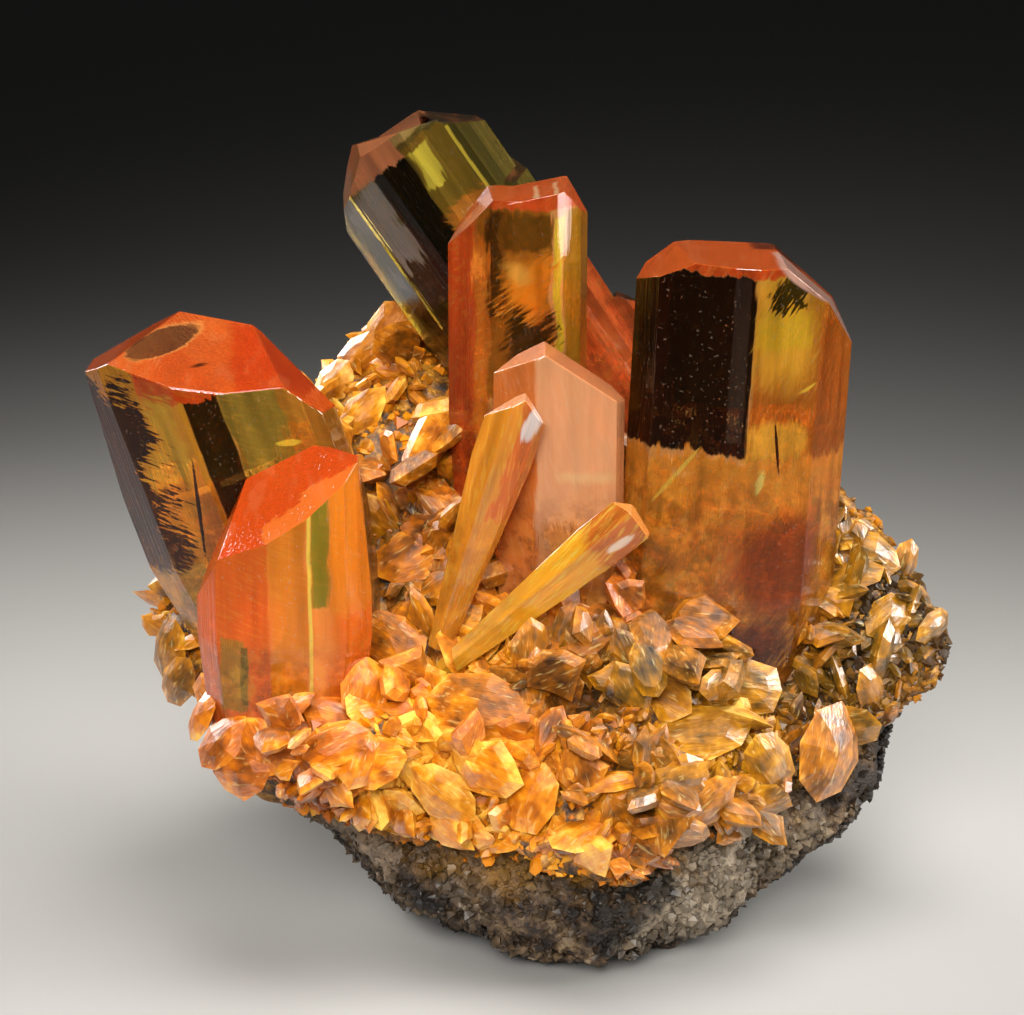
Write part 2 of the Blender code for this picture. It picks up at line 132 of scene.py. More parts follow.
# Blades that stand against the foot of the front left crystal and close the crust at its edge.
FOOT_BLADES = (
    ((-50.5, -27.5, 37), (10, 7, 3), (-35, 30, 60)),
    ((-45, -29, 37.5), (12, 8, 3), (-15, 35, -50)),
    ((-39.5, -29.5, 38.5), (10, 7, 3), (5, 40, 40)),
    ((-34, -28, 41), (11, 7, 3), (15, 45, -30)),
    ((-54, -22, 39), (9, 6, 2.6), (-60, 20, 70)),
    ((-47.5, -30, 33.5), (10, 8, 3), (-30, 10, 10)),
    ((-30.5, -24.5, 44.5), (10, 7, 3), (30, 35, 60)),
    ((-33.8, -33.2, 38.8), (10, 7, 3), (-5, 35, 25)),
    ((-37.2, -32.4, 36.4), (10, 7, 3), (-15, 15, -40)),
    ((-30.6, -33.4, 36.4), (9, 6.5, 3), (15, 10, 70)),
)
# Grains on the rock and on the crust, and bare places of the crust that carry more of them, as
# (middle, spread of directions, grains).
SUGAR_COUNT = 24000
SUGAR_SIZES = (0.8, 2.2)
SUGAR_LIFT = 0.2
SUGAR_TOP = 4
SUGAR_BOTTOM = 2.5
GRAIN_SHARES = ((0.9, 0.8, 0.7), (1.3, 1.1, 1.1))
GOLDEN_SUGAR_COUNT = 16000
GOLDEN_SUGAR_SIZES = (0.9, 2.6)
GOLDEN_SUGAR_LIFT = 0.1
GOLDEN_SUGAR_FADE = 3
SUGAR_CLEARANCE = -1.5
SUGAR_SPOTS = (
    ((53, -2, 41), 0.2, 1500),
    ((46, -8, 40), 0.2, 900),
    ((-33, -32, 38), 0.12, 300),
)
# Blades between the largest.
BLADE_SEED = 11
BLADE_COUNT = 112
BLADE_LENGTHS = (8, 14)
BLADE_WIDTH_SHARES = (0.5, 0.8)
BLADE_THICKNESS_SHARE = 0.26
BLADE_SPREAD = 0.9
BLADE_SPACING = 5
BLADE_LIFT = 0.08
# Small blades: how far standing and lying ones spread from the crust's outward direction, how deep
# they root, and shares of their size for the spread of a cluster and the lift of standing ones.
FINE_LENGTH_SHARES = (0.6, 1.15)
FINE_WIDTH_SHARES = (0.5, 0.9)
FINE_THICKNESS_SHARES = (0.2, 0.36)
STANDING_SPREAD = 0.7
LYING_SPREAD = 0.42
ROOT_DEPTH = 0.4
CLUSTER_SPREAD = 0.3
STANDING_LIFT = 0.18
# They are smaller by this share at the left edge, between these distances from the middle.
LEFT_EDGE_SHRINK = 0.45
LEFT_EDGE = (46, 54)
# They keep off this share of a large blade's length round its middle, and clear of each crystal's
# room, which begins this far below its foot.
BARE_SHARE = 0.4
BLADE_CLEARANCE = 0.2
ROOM_BELOW_FOOT = 8
LENS_CORNERS = 8

# Tone of single blades and grains: all a little darker than their place, with a random spread,
# and the streaks of each one from its own part of the noise.
CRUST_SHADE = 0.12
LIGHT_SPREAD = 0.13
WARMTH_SPREAD = 0.2
GRAIN_SHIFT = 50

# Places in the crust that differ, as (centre, radius, lighter, warmer): those at the hollows are
# painted darker, as shade.
CRUST_PATCHES = (
    ((-26, 10.9, 67.9), 7, -0.26, 0.2),
    ((-22.7, 0, 59.7), 7, -0.26, 0.2),
    ((10.4, -8.6, 54.3), 8, -0.35, 0.4),
    ((19.1, -13.4, 48.1), 6, -0.24, 0.4),
    ((33, -10, 44.4), 5, -0.35, 0.1),
    ((44.1, -3.6, 44.9), 4, -0.35, 0),
    ((1.2, -23.5, 42.1), 7, -0.35, -0.1),
    ((17, -27.9, 34.5), 13, 0.06, -0.4),
    ((-26.3, -29.1, 30.4), 7, 0.3, -0.1),
    ((51.1, 5.9, 54.8), 16, -0.14, -0.5),
    ((49, -2, 42), 16, -0.28, -0.4),
    ((24, -14, 42), 9, -0.1, -0.3),
    ((-34.3, 23.8, 76), 20, 0.25, -0.1),
    ((-7.6, -34.9, 28), 14, 0.2, 0.0),
    ((9.7, -20, 45.2), 8, 0.1, -0.3),
    ((-36, -25, 38), 20, 0.16, 0.7),
)
# Stains of the rock, as (colour, centre, radius, share).
ROCK_PATCHES = (
    ("#A6967F", (20, -25, 13), 13, 0.85),
    ("#86745C", (32, -17, 16), 9, 0.7),
    ("#120C07", (7.5, -31, 15.5), 8, 0.9),
    ("#1A120B", (-22, -22, 12), 6, 0.7),
    ("#806E5A", (-14, -27, 16), 7, 0.6),
    ("#A08C76", (-30, -16, 20), 9, 0.7),
    ("#2E231A", (44, -8, 24), 9, 0.85),
    ("#17100B", (52, 8, 32), 8, 0.7),
)
# Planes (point, outward direction) at the crust's sides and lower edge: small blades end there.
CRUST_LIMITS = (
    (np.array((-61.0, -1.0, 43.0)), np.array((-0.781, -0.278, -0.559))),
    (np.array((50.0, -2.0, 57.1)), np.array((0.773, 0.164, 0.612))),
    (np.array((51.2, -8.3, 33.8)), np.array((0.905, -0.110, -0.410))),
    (np.array((2.7, -36.2, 21.5)), np.array((-0.134, -0.257, -0.957))),
)
# Hollows between the blades, as (centre, radius): the ground sinks in them and is painted darker there,
# as shade.
HOLLOWS = (
    ((1.2, -23.5, 42.1), 5.5),
    ((10.4, -8.6, 54.3), 4.5),
    ((19.1, -14.4, 47.5), 4.0),
    ((33.5, -11.0, 43.6), 4.0),
    ((44.1, -4.6, 44.0), 4.0),
    ((51.0, -1.0, 42.0), 2.5),
    ((-22.7, -1.0, 59.0), 3.0),
    ((-26.0, 9.9, 67.2), 3.0),
)
HOLLOW_DEPTH = 4.0
HOLLOW_RIM = (0.45, 1.25)
# Small blades keep out of the middle of a hollow, and reach this far past the crust's limits.
HOLLOW_BARE = 0.55
LIMIT_SLACK = 0.7
# The crust's ground lies this far inside its nominal surface, so that the blades cover it.
CRUST_SETBACK = 0.8

# Crystal faces closer than the flat angle become one, and their edges are eased. A face is an end
# face where its outward direction has more than this share of the axis in it.
MERGE_DISTANCE = 1e-6
FLAT_ANGLE = math.radians(0.5)
EDGE_ANGLE = math.radians(8)
EDGE_EASE = 0.22 * MM
END_FACE_SLOPE = 0.2
# Refraction of gypsum. Crystals no deeper than the limit are too thin for their depth to tint them.
GYPSUM_IOR = 1.52
SLIM_HALF_DEPTH = 4
# Crystals. foot is where the axis starts, lean its lean (right, back) in degrees, and room the half
# width and half depth that each takes up. clear is the share of glassy surface; the rest is milky.
# body and end are the colours of the prism and of its end faces; the end colour is partly the
# crystal's own and partly painted light, the orange crust seen through the end faces. fibre is that
# of bright fibres along the axis, with their share. The crust seen through the crystal is painted on
# it up to the seen crust's height, as dark blotches with its share and bright ones with the fibres'.
# veil is the strength of cloudy streaks.
# Zones are tints as (colour, across, front to back, up from the foot, raggedness, softness), with
# ranges in millimetres and None for no limit. Feathers are zones with barbs along one slant, barb,
# in degrees below level, and ends are zones of the end faces alone. Spots are tints as (colour,
# centre, radii, turn in degrees, raggedness, softness).
# Painted shade: the near black that a crystal shows where, by internal reflection, its faces see only
# dark surroundings.
PAINTED_DARK = "#170F08"
OLIVE = "#8E7A30"
FRONT = (None, 2)
ANY = (None, None)
CRYSTALS = {}
CRYSTALS["crystal_right"] = dict(
    foot=(22.9, -3, 45), lean=(2.7, 0), room=(15.5, 9.5), clear=0.72,
    body="#F2A860", end="#E2662A", fibre=("#FFC45A", 0.3), barb=-58,
    seen_crust=(27, 0.5), veil=1.0,
    zones=(
        ("#B8661E", (1.3, 30), FRONT, (30, 58), 0.3, 0.3),
        ("#FFB834", (1.3, 9.6), FRONT, (42, 60), 1.0, 5.0),
        ("#FFB83A", (1.3, 9.6), FRONT, (30.5, 36), 1.2, 2.0),
        # Painted shade over the left front part, and a painted reflection on the narrow middle face.
        (PAINTED_DARK, (-30, 1.2), FRONT, (31, 57.4), 0.5, 0.5),
        ("#302B27", (-2.1, 0.2), FRONT, (33, 57.4), 0.1, 0.4),
        ("#FFA034", (-30, 30), FRONT, (-10, 30.5), 1.4, 1.0),
        ("#F05A22", (-30, 8), FRONT, (57.4, 61), 0.5, 0.3),
    ),
    feathers=(
        ("#F4C02C", (2.0, 9.6), FRONT, (47, 53), 1.6, 1.5),
        ("#3A3009", (4.5, 9.6), FRONT, (53.5, 57.5), 2.0, 0.8),
    ),
    ends=(
        ("#F6C8B4", (4.5, 30), (-30, 4), ANY, 0.6, 1.2),
        ("#7A3A22", (1, 9), (5.5, 30), ANY, 0.6, 0.8),
    ),
    spots=(
        ("#F4C0A8", (9.5, -7, 56.3), (6.8, 9, 1.5), (0, 30, 0), 0.1, 0.3),
        ("#F8922A", (6.5, -8, 15.5), (11, 7, 9.5), (0, 0, 0), 0.5, 0.3),
        ("#A04A18", (7, -8, 13.5), (10.5, 7, 9.5), (0, 0, 0), 0.5, 0.8),
        ("#6A3212", (2, -8, 2), (16, 7, 5), (0, 0, 0), 1.2, 0.8),
        ("#FFE070", (3.2, -9, 26.5), (0.7, 9, 2.0), (0, 10, 0), 2.4, 0.8),
        ("#F8C840", (9.2, -8, 40.8), (2.0, 9, 0.3), (0, -30, 0), 1.6, 0.8),
        ("#2A1206", (5.6, -8, 32), (0.25, 9, 4.5), (0, -8, 0), 0.4, 0.3),
        ("#FFCE50", (-9, -8, 27), (0.35, 9, 6), (0, 35, 0), 0.3, 0.3),
    ),
)
CRYSTALS["crystal_centre"] = dict(
    foot=(-7.8, 6, 58), lean=(0, 0), room=(10, 6.5), clear=0.7,
    body="#F2A860", end="#E4682E", fibre=("#FFC04A", 0.35), barb=-35,
    seen_crust=(26, 0.25), veil=1.0,
    zones=(
        ("#B06A1E", (-6.6, 5.0), FRONT, (24, 60), 0.8, 0.6),
        ("#6E4A14", (-2.0, 5.0), FRONT, (46.5, 52), 1.0, 1.0),
        ("#4A3410", (-4.4, -2.2), FRONT, (36, 52), 0.6, 0.9),
        ("#F08028", (-6.6, -4.2), FRONT, (10, 48), 1.2, 0.8),
        ("#E45A22", (-30, -6.4), FRONT, (0, 52), 0.5, 0.5),
        ("#FFD83A", (5.4, 6.6), FRONT, (20, 51), 0.4, 0.3),
        ("#B8801E", (6.9, 30), FRONT, (10, 52), 0.4, 0.4),
        ("#F05A26", (-30, 30), FRONT, (52.3, 90), 0.6, 0.3),
    ),
    feathers=(
        ("#3A2A0C", (-2.0, 5.0), FRONT, (29, 37), 1.6, 1.5),
        ("#FF9020", (-1.8, 5.0), FRONT, (37.5, 44), 2.4, 2.5),
    ),
    ends=(
        ("#F8A070", (-30, -4.5), (-30, 2), ANY, 0.8, 1.5),
        ("#FFC890", (2.2, 2.9), (-30, 3), ANY, 0.3, 0.4),
        ("#FFC890", (5.2, 5.8), (-30, 3), ANY, 0.3, 0.4),
    ),
    spots=(
        ("#FFBA4A", (-0.4, -6, 43.0), (1.5, 9, 2.2), (0, -40, 0), 2.0, 1.2),
    ),
)
CRYSTALS["crystal_back"] = dict(
    foot=(-1, 22, 76), lean=(-35, 4), room=(15, 8), clear=0.8,
    body="#C8A860", end="#F09A66", fibre=("#C8A23E", 0.2), barb=30,
    seen_crust=(24, 0.3), veil=1.0,
    zones=(
        ("#6A5E2A", (-30, 20), FRONT, (8, 48), 0.5, 0.5),
        # Painted reflection: a grey-white patch on the shiny left face.
        ("#A8A298", (-9, -2.4), (None, 0), (31, 45.6), 2.6, 1.0),
        ("#2A2612", (-9, -2.4), (None, 0), (10, 31), 2.6, 1.0),
        ("#17140A", (-3.0, 2.9), (None, 0), (8, 46), 0.2, 0.3),
        ("#8E7026", (2.9, 10.4), (None, 0), (22, 47), 0.6, 0.3),
        ("#FFE650", (3.2, 6.4), (None, 0), (39.5, 45.5), 0.8, 0.5),
        ("#F8D84A", (10.4, 11.0), (None, 0), (20, 46), 0.1, 0.2),
        ("#5A5224", (11.1, 30), ANY, (18, 48), 0.4, 0.4),
        ("#F8743A", (5, 40), ANY, (-20, 19), 0.8, 1.0),
        ("#F49A66", (-30, 3), ANY, (45.6, 80), 0.6, 0.4),
    ),
    feathers=(
        ("#E88A30", (3.4, 9.5), (None, 0), (31, 35.5), 1.6, 1.5),
    ),
    ends=(
        ("#4A3A24", (8, 30), ANY, ANY, 0.6, 0.8),
        ("#F4B898", (-30, -6.5), ANY, ANY, 0.8, 1.0),
    ),
    spots=(),
)
CRYSTALS["crystal_left"] = dict(
    foot=(-43.3, -3.4, 50.4), lean=(-19, 0), room=(16.5, 9.5), clear=0.75,
    body="#F0A850", end="#E6622A", fibre=("#FFC040", 0.35), barb=35,
    seen_crust=(14, 0.4), veil=1.0,
    zones=(
        ("#F0A428", (-20, -1.6), FRONT, (-10, 60), 0.5, 1.5),
        ("#C87A24", (-6, -1.6), FRONT, (0, 22), 1.5, 3.0),
        ("#241A0A", (-1.5, 3.6), FRONT, (8, 60), 0.2, 0.3),
        (OLIVE, (3.7, 30), FRONT, (0, 60), 0.5, 0.4),
        ("#B8782A", (11, 30), FRONT, (0, 60), 0.8, 0.8),
        ("#F0541E", (-7.6, 30), FRONT, (35.8, 80), 0.8, 0.3),
    ),
    feathers=(
        ("#241208", (-30, -9.0), (None, 3), (11.5, 42.6), 2.8, 0.8),
        ("#FFC444", (-30, -2), (None, 3), (-10, 11.5), 1.5, 1.0),
        ("#F8C83A", (-7.6, -4.8), FRONT, (24, 39), 2.4, 2.5),
    ),
    ends=(
        ("#F47A4A", (-30, -8.8), ANY, ANY, 0.5, 1.2),
        ("#E04A1E", (6, 30), ANY, ANY, 0.8, 1.5),
    ),
    spots=(
        ("#FF9A50", (-3.0, 1.3, 43.8), (9.0, 3.3, 4), (0, 0, 52), 0.3, 0.15),
        ("#6E4028", (-3.2, 1.1, 43.8), (8.4, 2.9, 4), (0, 0, 52), 0.3, 0.15),
        ("#4A2416", (1.8, -3.4, 42.5), (3.0, 0.8, 4), (0, 0, 40), 0.3, 0.3),
        ("#FFE24A", (10.6, -7, 24.9), (1.9, 9, 0.5), (0, 20, 0), 0.5, 0.4),
        ("#1A0C04", (-5, -8, 20), (0.3, 9, 8), (0, 14, 0), 0.9, 0.3),
    ),
)
CRYSTALS["crystal_front_left"] = dict(
    foot=(-42, -21.5, 41.4), lean=(0, 0), room=(12, 6), clear=0.62,
    body="#FF9A40", end="#E2561C", fibre=("#FFB040", 0.25), barb=20,
    seen_crust=(9, 0.3), veil=0.7,
    zones=(
        ("#F27426", (-30, -1.2), FRONT, (-10, 60), 0.4, 0.8),
        ("#EE8E24", (-1.2, 4.3), FRONT, (2, 40), 0.8, 0.8),
        ("#FFE05A", (4.3, 4.8), FRONT, (2, 34), 0.1, 0.2),
        ("#8A8628", (4.9, 7.2), FRONT, (16, 40), 0.3, 0.6),
        ("#FF9428", (7.4, 30), FRONT, (-10, 60), 0.5, 0.6),
        ("#B88A30", (-9, -5), FRONT, (0, 11), 0.6, 0.6),
        ("#6E6420", (-5.6, -4.6), FRONT, (1, 10), 0.3, 0.4),
    ),
    feathers=(
        ("#FF7A1E", (7.4, 30), FRONT, (-10, 14), 1.2, 2.5),
    ),
    ends=(
        ("#FB8030", (3, 30), (-30, -1.5), ANY, 0.5, 0.5),
        ("#FB8030", (-2, 3), (-30, -3.4), ANY, 0.5, 0.5),
    ),
    spots=(),
)
CRYSTALS["crystal_front"] = dict(
    foot=(-2, -7, 52), lean=(0, -3), room=(9, 4), clear=0.58,
    body="#ECAA74", end="#E0905C", fibre=("#FFD8A8", 0.1), barb=75,
    seen_crust=(16, 0.45), veil=0.35,
    zones=(
        ("#ECA872", (-3, 30), (None, 1), (14, 50), 1.0, 1.0),
        ("#E0813A", (-30, -3.2), (None, 1), (0, 50), 0.5, 0.4),
        ("#F09A40", (-3, 30), (None, 1), (-10, 13), 2.0, 5.0),
    ),
    feathers=(
        ("#F4C888", (0, 8), (None, 1), (20.3, 21.2), 0.3, 2.0),
        ("#C8803E", (-2, 5), (None, 1), (9, 13), 2.0, 2.0),
    ),
    ends=(
        ("#F0A070", (-30, -2), ANY, ANY, 0.5, 1.0),
    ),
    spots=(),
)
CRYSTALS["blade_steep"] = dict(
    foot=(-17.6, -15, 52.8), lean=(18, -2), room=(3.5, 2), clear=0.6,
    body="#F0A030", end="#F0B080", fibre=("#FFD050", 0.5), barb=80,
    seen_crust=(14, 0.2), veil=1.0,
    zones=(
        ("#E87A30", (0.6, 30), ANY, (16, 60), 0.6, 0.4),
    ),
    feathers=(),
    ends=(),
    spots=(
        # Painted reflection: the white of a shiny facet at the top of the blade.
        ("#FFF8F0", (2.4, -2, 32.2), (1.3, 9, 3.6), (0, 12, 0), 0.9, 0.4),
    ),
)
CRYSTALS["blade_leaning"] = dict(
    foot=(-14.5, -17, 48), lean=(49, -6), room=(3.5, 2), clear=0.6,
    body="#FFB82E", end="#F8A050", fibre=("#FFE85A", 0.7), barb=80,
    seen_crust=(10, 0.2), veil=1.0,
    zones=(
        ("#DC7A2C", (-30, 30), ANY, (24, 60), 1.0, 2.0),
    ),
    feathers=(),
    ends=(),
    spots=(
        ("#FFF0D8", (1.0, -2, 27.5), (0.7, 9, 2.6), (0, 6, 0), 0.8, 0.4),
    ),
)

# Lamps, as (name, place, aim, size, watts, spread in degrees), and the camera.
LAMPS = (
    ("top", (60, -70, 430), (0, 0, 50), (300, 300), 0.62, 80),
    ("back_left", (-330, 260, 240), (-10, 0, 60), (220, 240), 0.28, 60),
    ("right", (420, -30, 240), (10, 0, 60), (200, 240), 0.3, 60),
    ("front", (-60, -480, 330), (0, 0, 50), (320, 240), 0.4, 40),
)
CAMERA_PLACE = (-8.7, -415.35, 176.09)
CAMERA_TARGET = (-8.7, 0, 64.8)


def lumps(points, width):
    """A smooth field between -1 and 1: the mean of three crossed sine waves, each bent by another."""
    x, y, z = np.moveaxis(points * (math.pi / width), -1, 0)
    first = np.sin(x + 1.3 * np.sin(0.9 * y + 0.4))
    second = np.sin(1.1 * y + 1.5 * np.sin(0.8 * z + 1.0))
    third = np.sin(0.95 * z + 1.4 * np.sin(1.2 * x + 2.0))
    return (first + second + third) / 3


def grains(points, size):
    """A rougher field between -1 and 1: random values on a cubic lattice, eased between its knots."""
    scaled = points / size
    low = np.floor(scaled).astype(int)
    share = scaled - low
    share = share * share * (3 - 2 * share)
    total = np.zeros(points.shape[:-1])
    for corner in np.ndindex(2, 2, 2):
        weight = np.prod(np.where(corner, share, 1 - share), axis=-1)
        i, j, k = np.moveaxis((low + corner) % LATTICE_SIZE, -1, 0)
        total += weight * LATTICE[i, j, k]
    return total


def layered(points, layers):
    """Rough fields added up, one for each layer (height, size, shift)."""
    return sum(height * grains(points + shift, size) for height, size, shift in layers)


def smooth_step(value, low, high):
    share = np.clip((value - low) / (high - low), 0, 1)
    return share * share * (3 - 2 * share)


def unit(vectors):
    return vectors / np.linalg.norm(vectors, axis=-1, keepdims=True)


def above_edge(points):
    """How far points lie above the plane of the crust's lower edge."""
    return (points - CRUST_EDGE_POINT) @ CRUST_EDGE_NORMAL


def slab_distance(points):
    """About how far points are outside the leaning slab: a rounded pillow whose rim varies round it."""
    offset = points - SLAB_CENTRE
    side, up, front = offset[..., 0], offset @ SLAB_UP, offset @ SLAB_FRONT
    angle = np.degrees(np.arctan2(up, side)) % 360
    step = np.clip(np.searchsorted(RIM_ANGLES, angle, side="right") - 1, 0, len(RIM_RADII) - 2)
    angles, radii = np.array(RIM_ANGLES), np.array(RIM_RADII, float)
    eased = smooth_step(angle, angles[step], angles[step + 1])
    rim = radii[step] + (radii[step + 1] - radii[step]) * eased
    depth = np.where(front > 0, SLAB_FRONT_DEPTH, SLAB_BACK_DEPTH)
    spread = np.hypot(side, up) / rim
    power = SLAB_ROUNDNESS
    return ((spread**power + (np.abs(front) / depth) ** power) ** (1 / power) - 1) * depth


def rock_distance(points):
    """The least of the distances to slab and ellipsoids, eased where two are alike."""
    nearest = slab_distance(points)
    for centre, radii in MOUNDS:
        mound = (np.linalg.norm((points - centre) / radii, axis=-1) - 1) * min(radii)
        blend = np.maximum(0, MOUND_BLEND - np.abs(nearest - mound)) ** 2 / (4 * MOUND_BLEND)
        nearest = np.minimum(nearest, mound) - blend
    return nearest


def rock_radius(directions):
    """Distance from the rock's centre to its surface along each direction, found by halving."""
    inside = np.zeros(directions.shape[:-1])
    outside = np.full_like(inside, ROCK_REACH)
    for _ in range(HALVINGS):
        middle = (inside + outside) / 2
        within = rock_distance(ROCK_CENTRE + directions * middle[..., None]) < 0
        inside = np.where(within, middle, inside)
        outside = np.where(within, outside, middle)
    points = ROCK_CENTRE + directions * inside[..., None]
    for height, width in ROCK_LUMPS:
        inside = inside + height * lumps(points, width)
    return inside


def crust_depth(points):
    """How far the crust stands out from points on the rock: negative where it is bare."""
    wave = CRUST_EDGE_WAVE * lumps(points, CRUST_EDGE_WAVE_WIDTH)
    covered = smooth_step(above_edge(points) + wave, -CRUST_EDGE_SOFTNESS, CRUST_EDGE_SOFTNESS)
    lump = CRUST_LUMP_HEIGHT * lumps(points, CRUST_LUMP_WIDTH)
    return CRUST_HIDDEN_DEPTH + (CRUST_DEPTH - CRUST_HIDDEN_DEPTH + lump) * covered


def in_scene(name, data):
    obj = bpy.data.objects.new(name, data)
    bpy.context.scene.collection.objects.link(obj)
    return obj


def new_piece(name, points, faces, smooth=False):
    """A mesh object from points in millimetres and equal-sided faces, as whole arrays."""
    mesh = bpy.data.meshes.new(name)
    mesh.vertices.add(len(points))
    mesh.vertices.foreach_set("co", (points * MM).astype(np.float32).ravel())
    sides = faces.shape[1]
    mesh.loops.add(faces.size)
    mesh.loops.foreach_set("vertex_index", faces.astype(np.int32).ravel())
    mesh.polygons.add(len(faces))
    mesh.polygons.foreach_set("loop_start", np.arange(0, faces.size, sides, dtype=np.int32))
    mesh.polygons.foreach_set("use_smooth", np.full(len(faces), smooth))
    mesh.update(calc_edges=True)
    mesh.validate()
    return in_scene(name, mesh)


def set_values(obj, **values):
    """Attributes of the object's points, one number for each point."""
    for name, value in values.items():
        layer = obj.data.attributes.new(name, "FLOAT", "POINT")
        layer.data.foreach_set("value", value.astype(np.float32))


def globe_faces(rows, columns):
    """Triangles of a grid of rows that closes round its columns, with a fan at each pole."""
    row, column = np.meshgrid(np.arange(rows - 1), np.arange(columns), indexing="ij")
    here = row * columns + column
    beside = row * columns + (column + 1) % columns
    quads = np.stack((here, here + columns, beside + columns, beside), -1).reshape(-1, 4)
    top, bottom = rows * columns, rows * columns + 1
    ring = np.arange(columns)
    after = (ring + 1) % columns
    last = (rows - 1) * columns
    upper = np.stack((np.full(columns, top), ring, after), -1)
    lower = np.stack((np.full(columns, bottom), last + after, last + ring), -1)
    return np.concatenate((quads[:, (0, 1, 2)], quads[:, (0, 2, 3)], upper, lower))


def globe_directions(rows, columns, axis, reach):
    """Unit directions on a grid, by polar angle up to reach and turn, then both ends of the axis."""
    axis = np.array(axis, float) / np.linalg.norm(axis)
    side = np.cross(axis, (0.0, 1.0, 0.0))
    side /= np.linalg.norm(side)
    other = np.cross(axis, side)
    polar = (np.arange(rows) + 0.7) / (rows + 0.4) * reach
    turn = np.arange(columns) / columns * 2 * math.pi
    polar, turn = np.meshgrid(polar, turn, indexing="ij")
    grid = (
        np.cos(polar)[..., None] * axis
        + (np.sin(polar) * np.cos(turn))[..., None] * side
        + (np.sin(polar) * np.sin(turn))[..., None] * other
    )
    return np.concatenate((grid.reshape(-1, 3), (axis, -axis)))


def matrix_rock():
    """Radius over every direction from inside the rock, with lumps, pits and sugary grains.

    The point at radius r is pushed out by eased random lattices of 5, 2.2, 1 and 0.6 mm, and
    everything under the floor is raised to it, which makes the flat patch.
    """
    rows, columns = ROCK_GRID
    directions = globe_directions(rows, columns, (0, 0, 1), math.pi)
    points = ROCK_CENTRE + directions * rock_radius(directions)[:, None]
    pits = np.clip(layered(points, PITS) - PIT_RARITY, 0, 1)
    rough = layered(points, ROCK_RELIEF) - PIT_DEPTH * pits - ROCK_SETBACK
    points = points + directions * rough[:, None]
    points[:, 2] = np.maximum(points[:, 2], 0)
    return new_piece("rock", points, globe_faces(rows, columns), smooth=True)


def in_hollows(points):
    """How deep in a hollow each point lies, from 0 outside to 1 in the middle: eased bumps."""
    inside = np.zeros(points.shape[:-1])
    for centre, radius in HOLLOWS:
        far = np.linalg.norm(points - centre, axis=-1) / radius
        inside = np.maximum(inside, 1 - smooth_step(far, *HOLLOW_RIM))
    return inside


def crust_surface(directions):
    """(radius, hollow) of the crust's ground from inside the rock, along each direction.

    The rock is pushed out by the crust's depth, sunk in the hollows, and roughened by random
    lattices of 3 to 1 mm.
    """
    radius = rock_radius(directions)
    on_rock = ROCK_CENTRE + directions * radius[:, None]
    depth = crust_depth(on_rock)
    rough = layered(on_rock, CRUST_RELIEF) * np.clip(depth / CRUST_DEPTH, 0, 1)
    hollow = in_hollows(ROCK_CENTRE + directions * (radius + depth)[:, None])
    return radius + depth - (CRUST_SETBACK + HOLLOW_DEPTH * hollow) + rough, hollow


def crust_ground():
    """The crust under its blades: a cap whose last rows draw in to close it inside the rock."""
    rows, columns = CRUST_GRID
    directions = globe_directions(rows, columns, CRUST_EDGE_NORMAL, math.radians(CRUST_REACH))
    radius, hollow = crust_surface(directions)
    row = np.minimum(np.arange(len(directions)) // columns, rows - 1)
    draw_in = smooth_step(row, rows - CLOSING_ROWS, rows - 1)
    draw_in[-2] = 0
    radius = radius * (1 - CLOSING_SHARE * draw_in)
    points = ROCK_CENTRE + directions * radius[:, None]
    obj = new_piece("crust", points, globe_faces(rows, columns), smooth=True)
    set_values(obj, hollow=hollow)
    return obj


def blade_turn(facing, rise, spin):
    """Axes (length, width, thickness) of a large blade, as columns, from its three angles."""
    facing, rise, spin = (math.radians(angle) for angle in (facing, rise, spin))
    flat = np.array((
        math.sin(facing) * math.cos(rise), -math.cos(facing) * math.cos(rise), math.sin(rise),
    ))
    level = np.array((math.cos(facing), math.sin(facing), 0))
    along = level * math.cos(spin) + np.cross(flat, level) * math.sin(spin)
    return np.stack((along, np.cross(flat, along), flat), -1)


def axes(along, across):
    """Axes (length, width, thickness) as columns, the last at right angles to the others."""
    return np.stack((along, across, np.cross(along, across)), -1)


def placed_blades():
    """(middles, sizes, turns) of the blades in the tables."""
    rows = [(place, size, blade_turn(*angles)) for place, size, angles in LARGE_BLADES + FOOT_BLADES]
    return [np.array(column) for column in zip(*rows)]


def middle_blades():
    """(middles, sizes, turns) of the blades that stand between the largest, in the same places."""
    draw = random.Random(BLADE_SEED)
    taken = [np.array(middle, float) for middle, _, _ in LARGE_BLADES]
    found = []

    def any_direction():
        vector = np.array((draw.gauss(0, 1), draw.gauss(0, 1), draw.gauss(0, 1)))
        return vector / np.linalg.norm(vector)

    while len(found) < BLADE_COUNT:
        direction = any_direction()
        on_rock = ROCK_CENTRE + direction * rock_radius(direction[None])[0]
        depth = crust_depth(on_rock[None])[0]
        length = draw.uniform(*BLADE_LENGTHS)
        middle = on_rock + direction * (depth + BLADE_LIFT * length)
        crowded = any(np.linalg.norm(middle - other) < BLADE_SPACING for other in taken)
        if depth < CRUST_DEPTH - CRUST_LUMP_HEIGHT or crowded:
            continue
        taken.append(middle)
        along = unit(direction + any_direction() * BLADE_SPREAD * draw.random())
        across = unit(np.cross(along, any_direction()))
        width = length * draw.uniform(*BLADE_WIDTH_SHARES)
        size = (length, width, length * BLADE_THICKNESS_SHARE)
        found.append((middle, size, axes(along, across)))
    return [np.array(column) for column in zip(*found)]


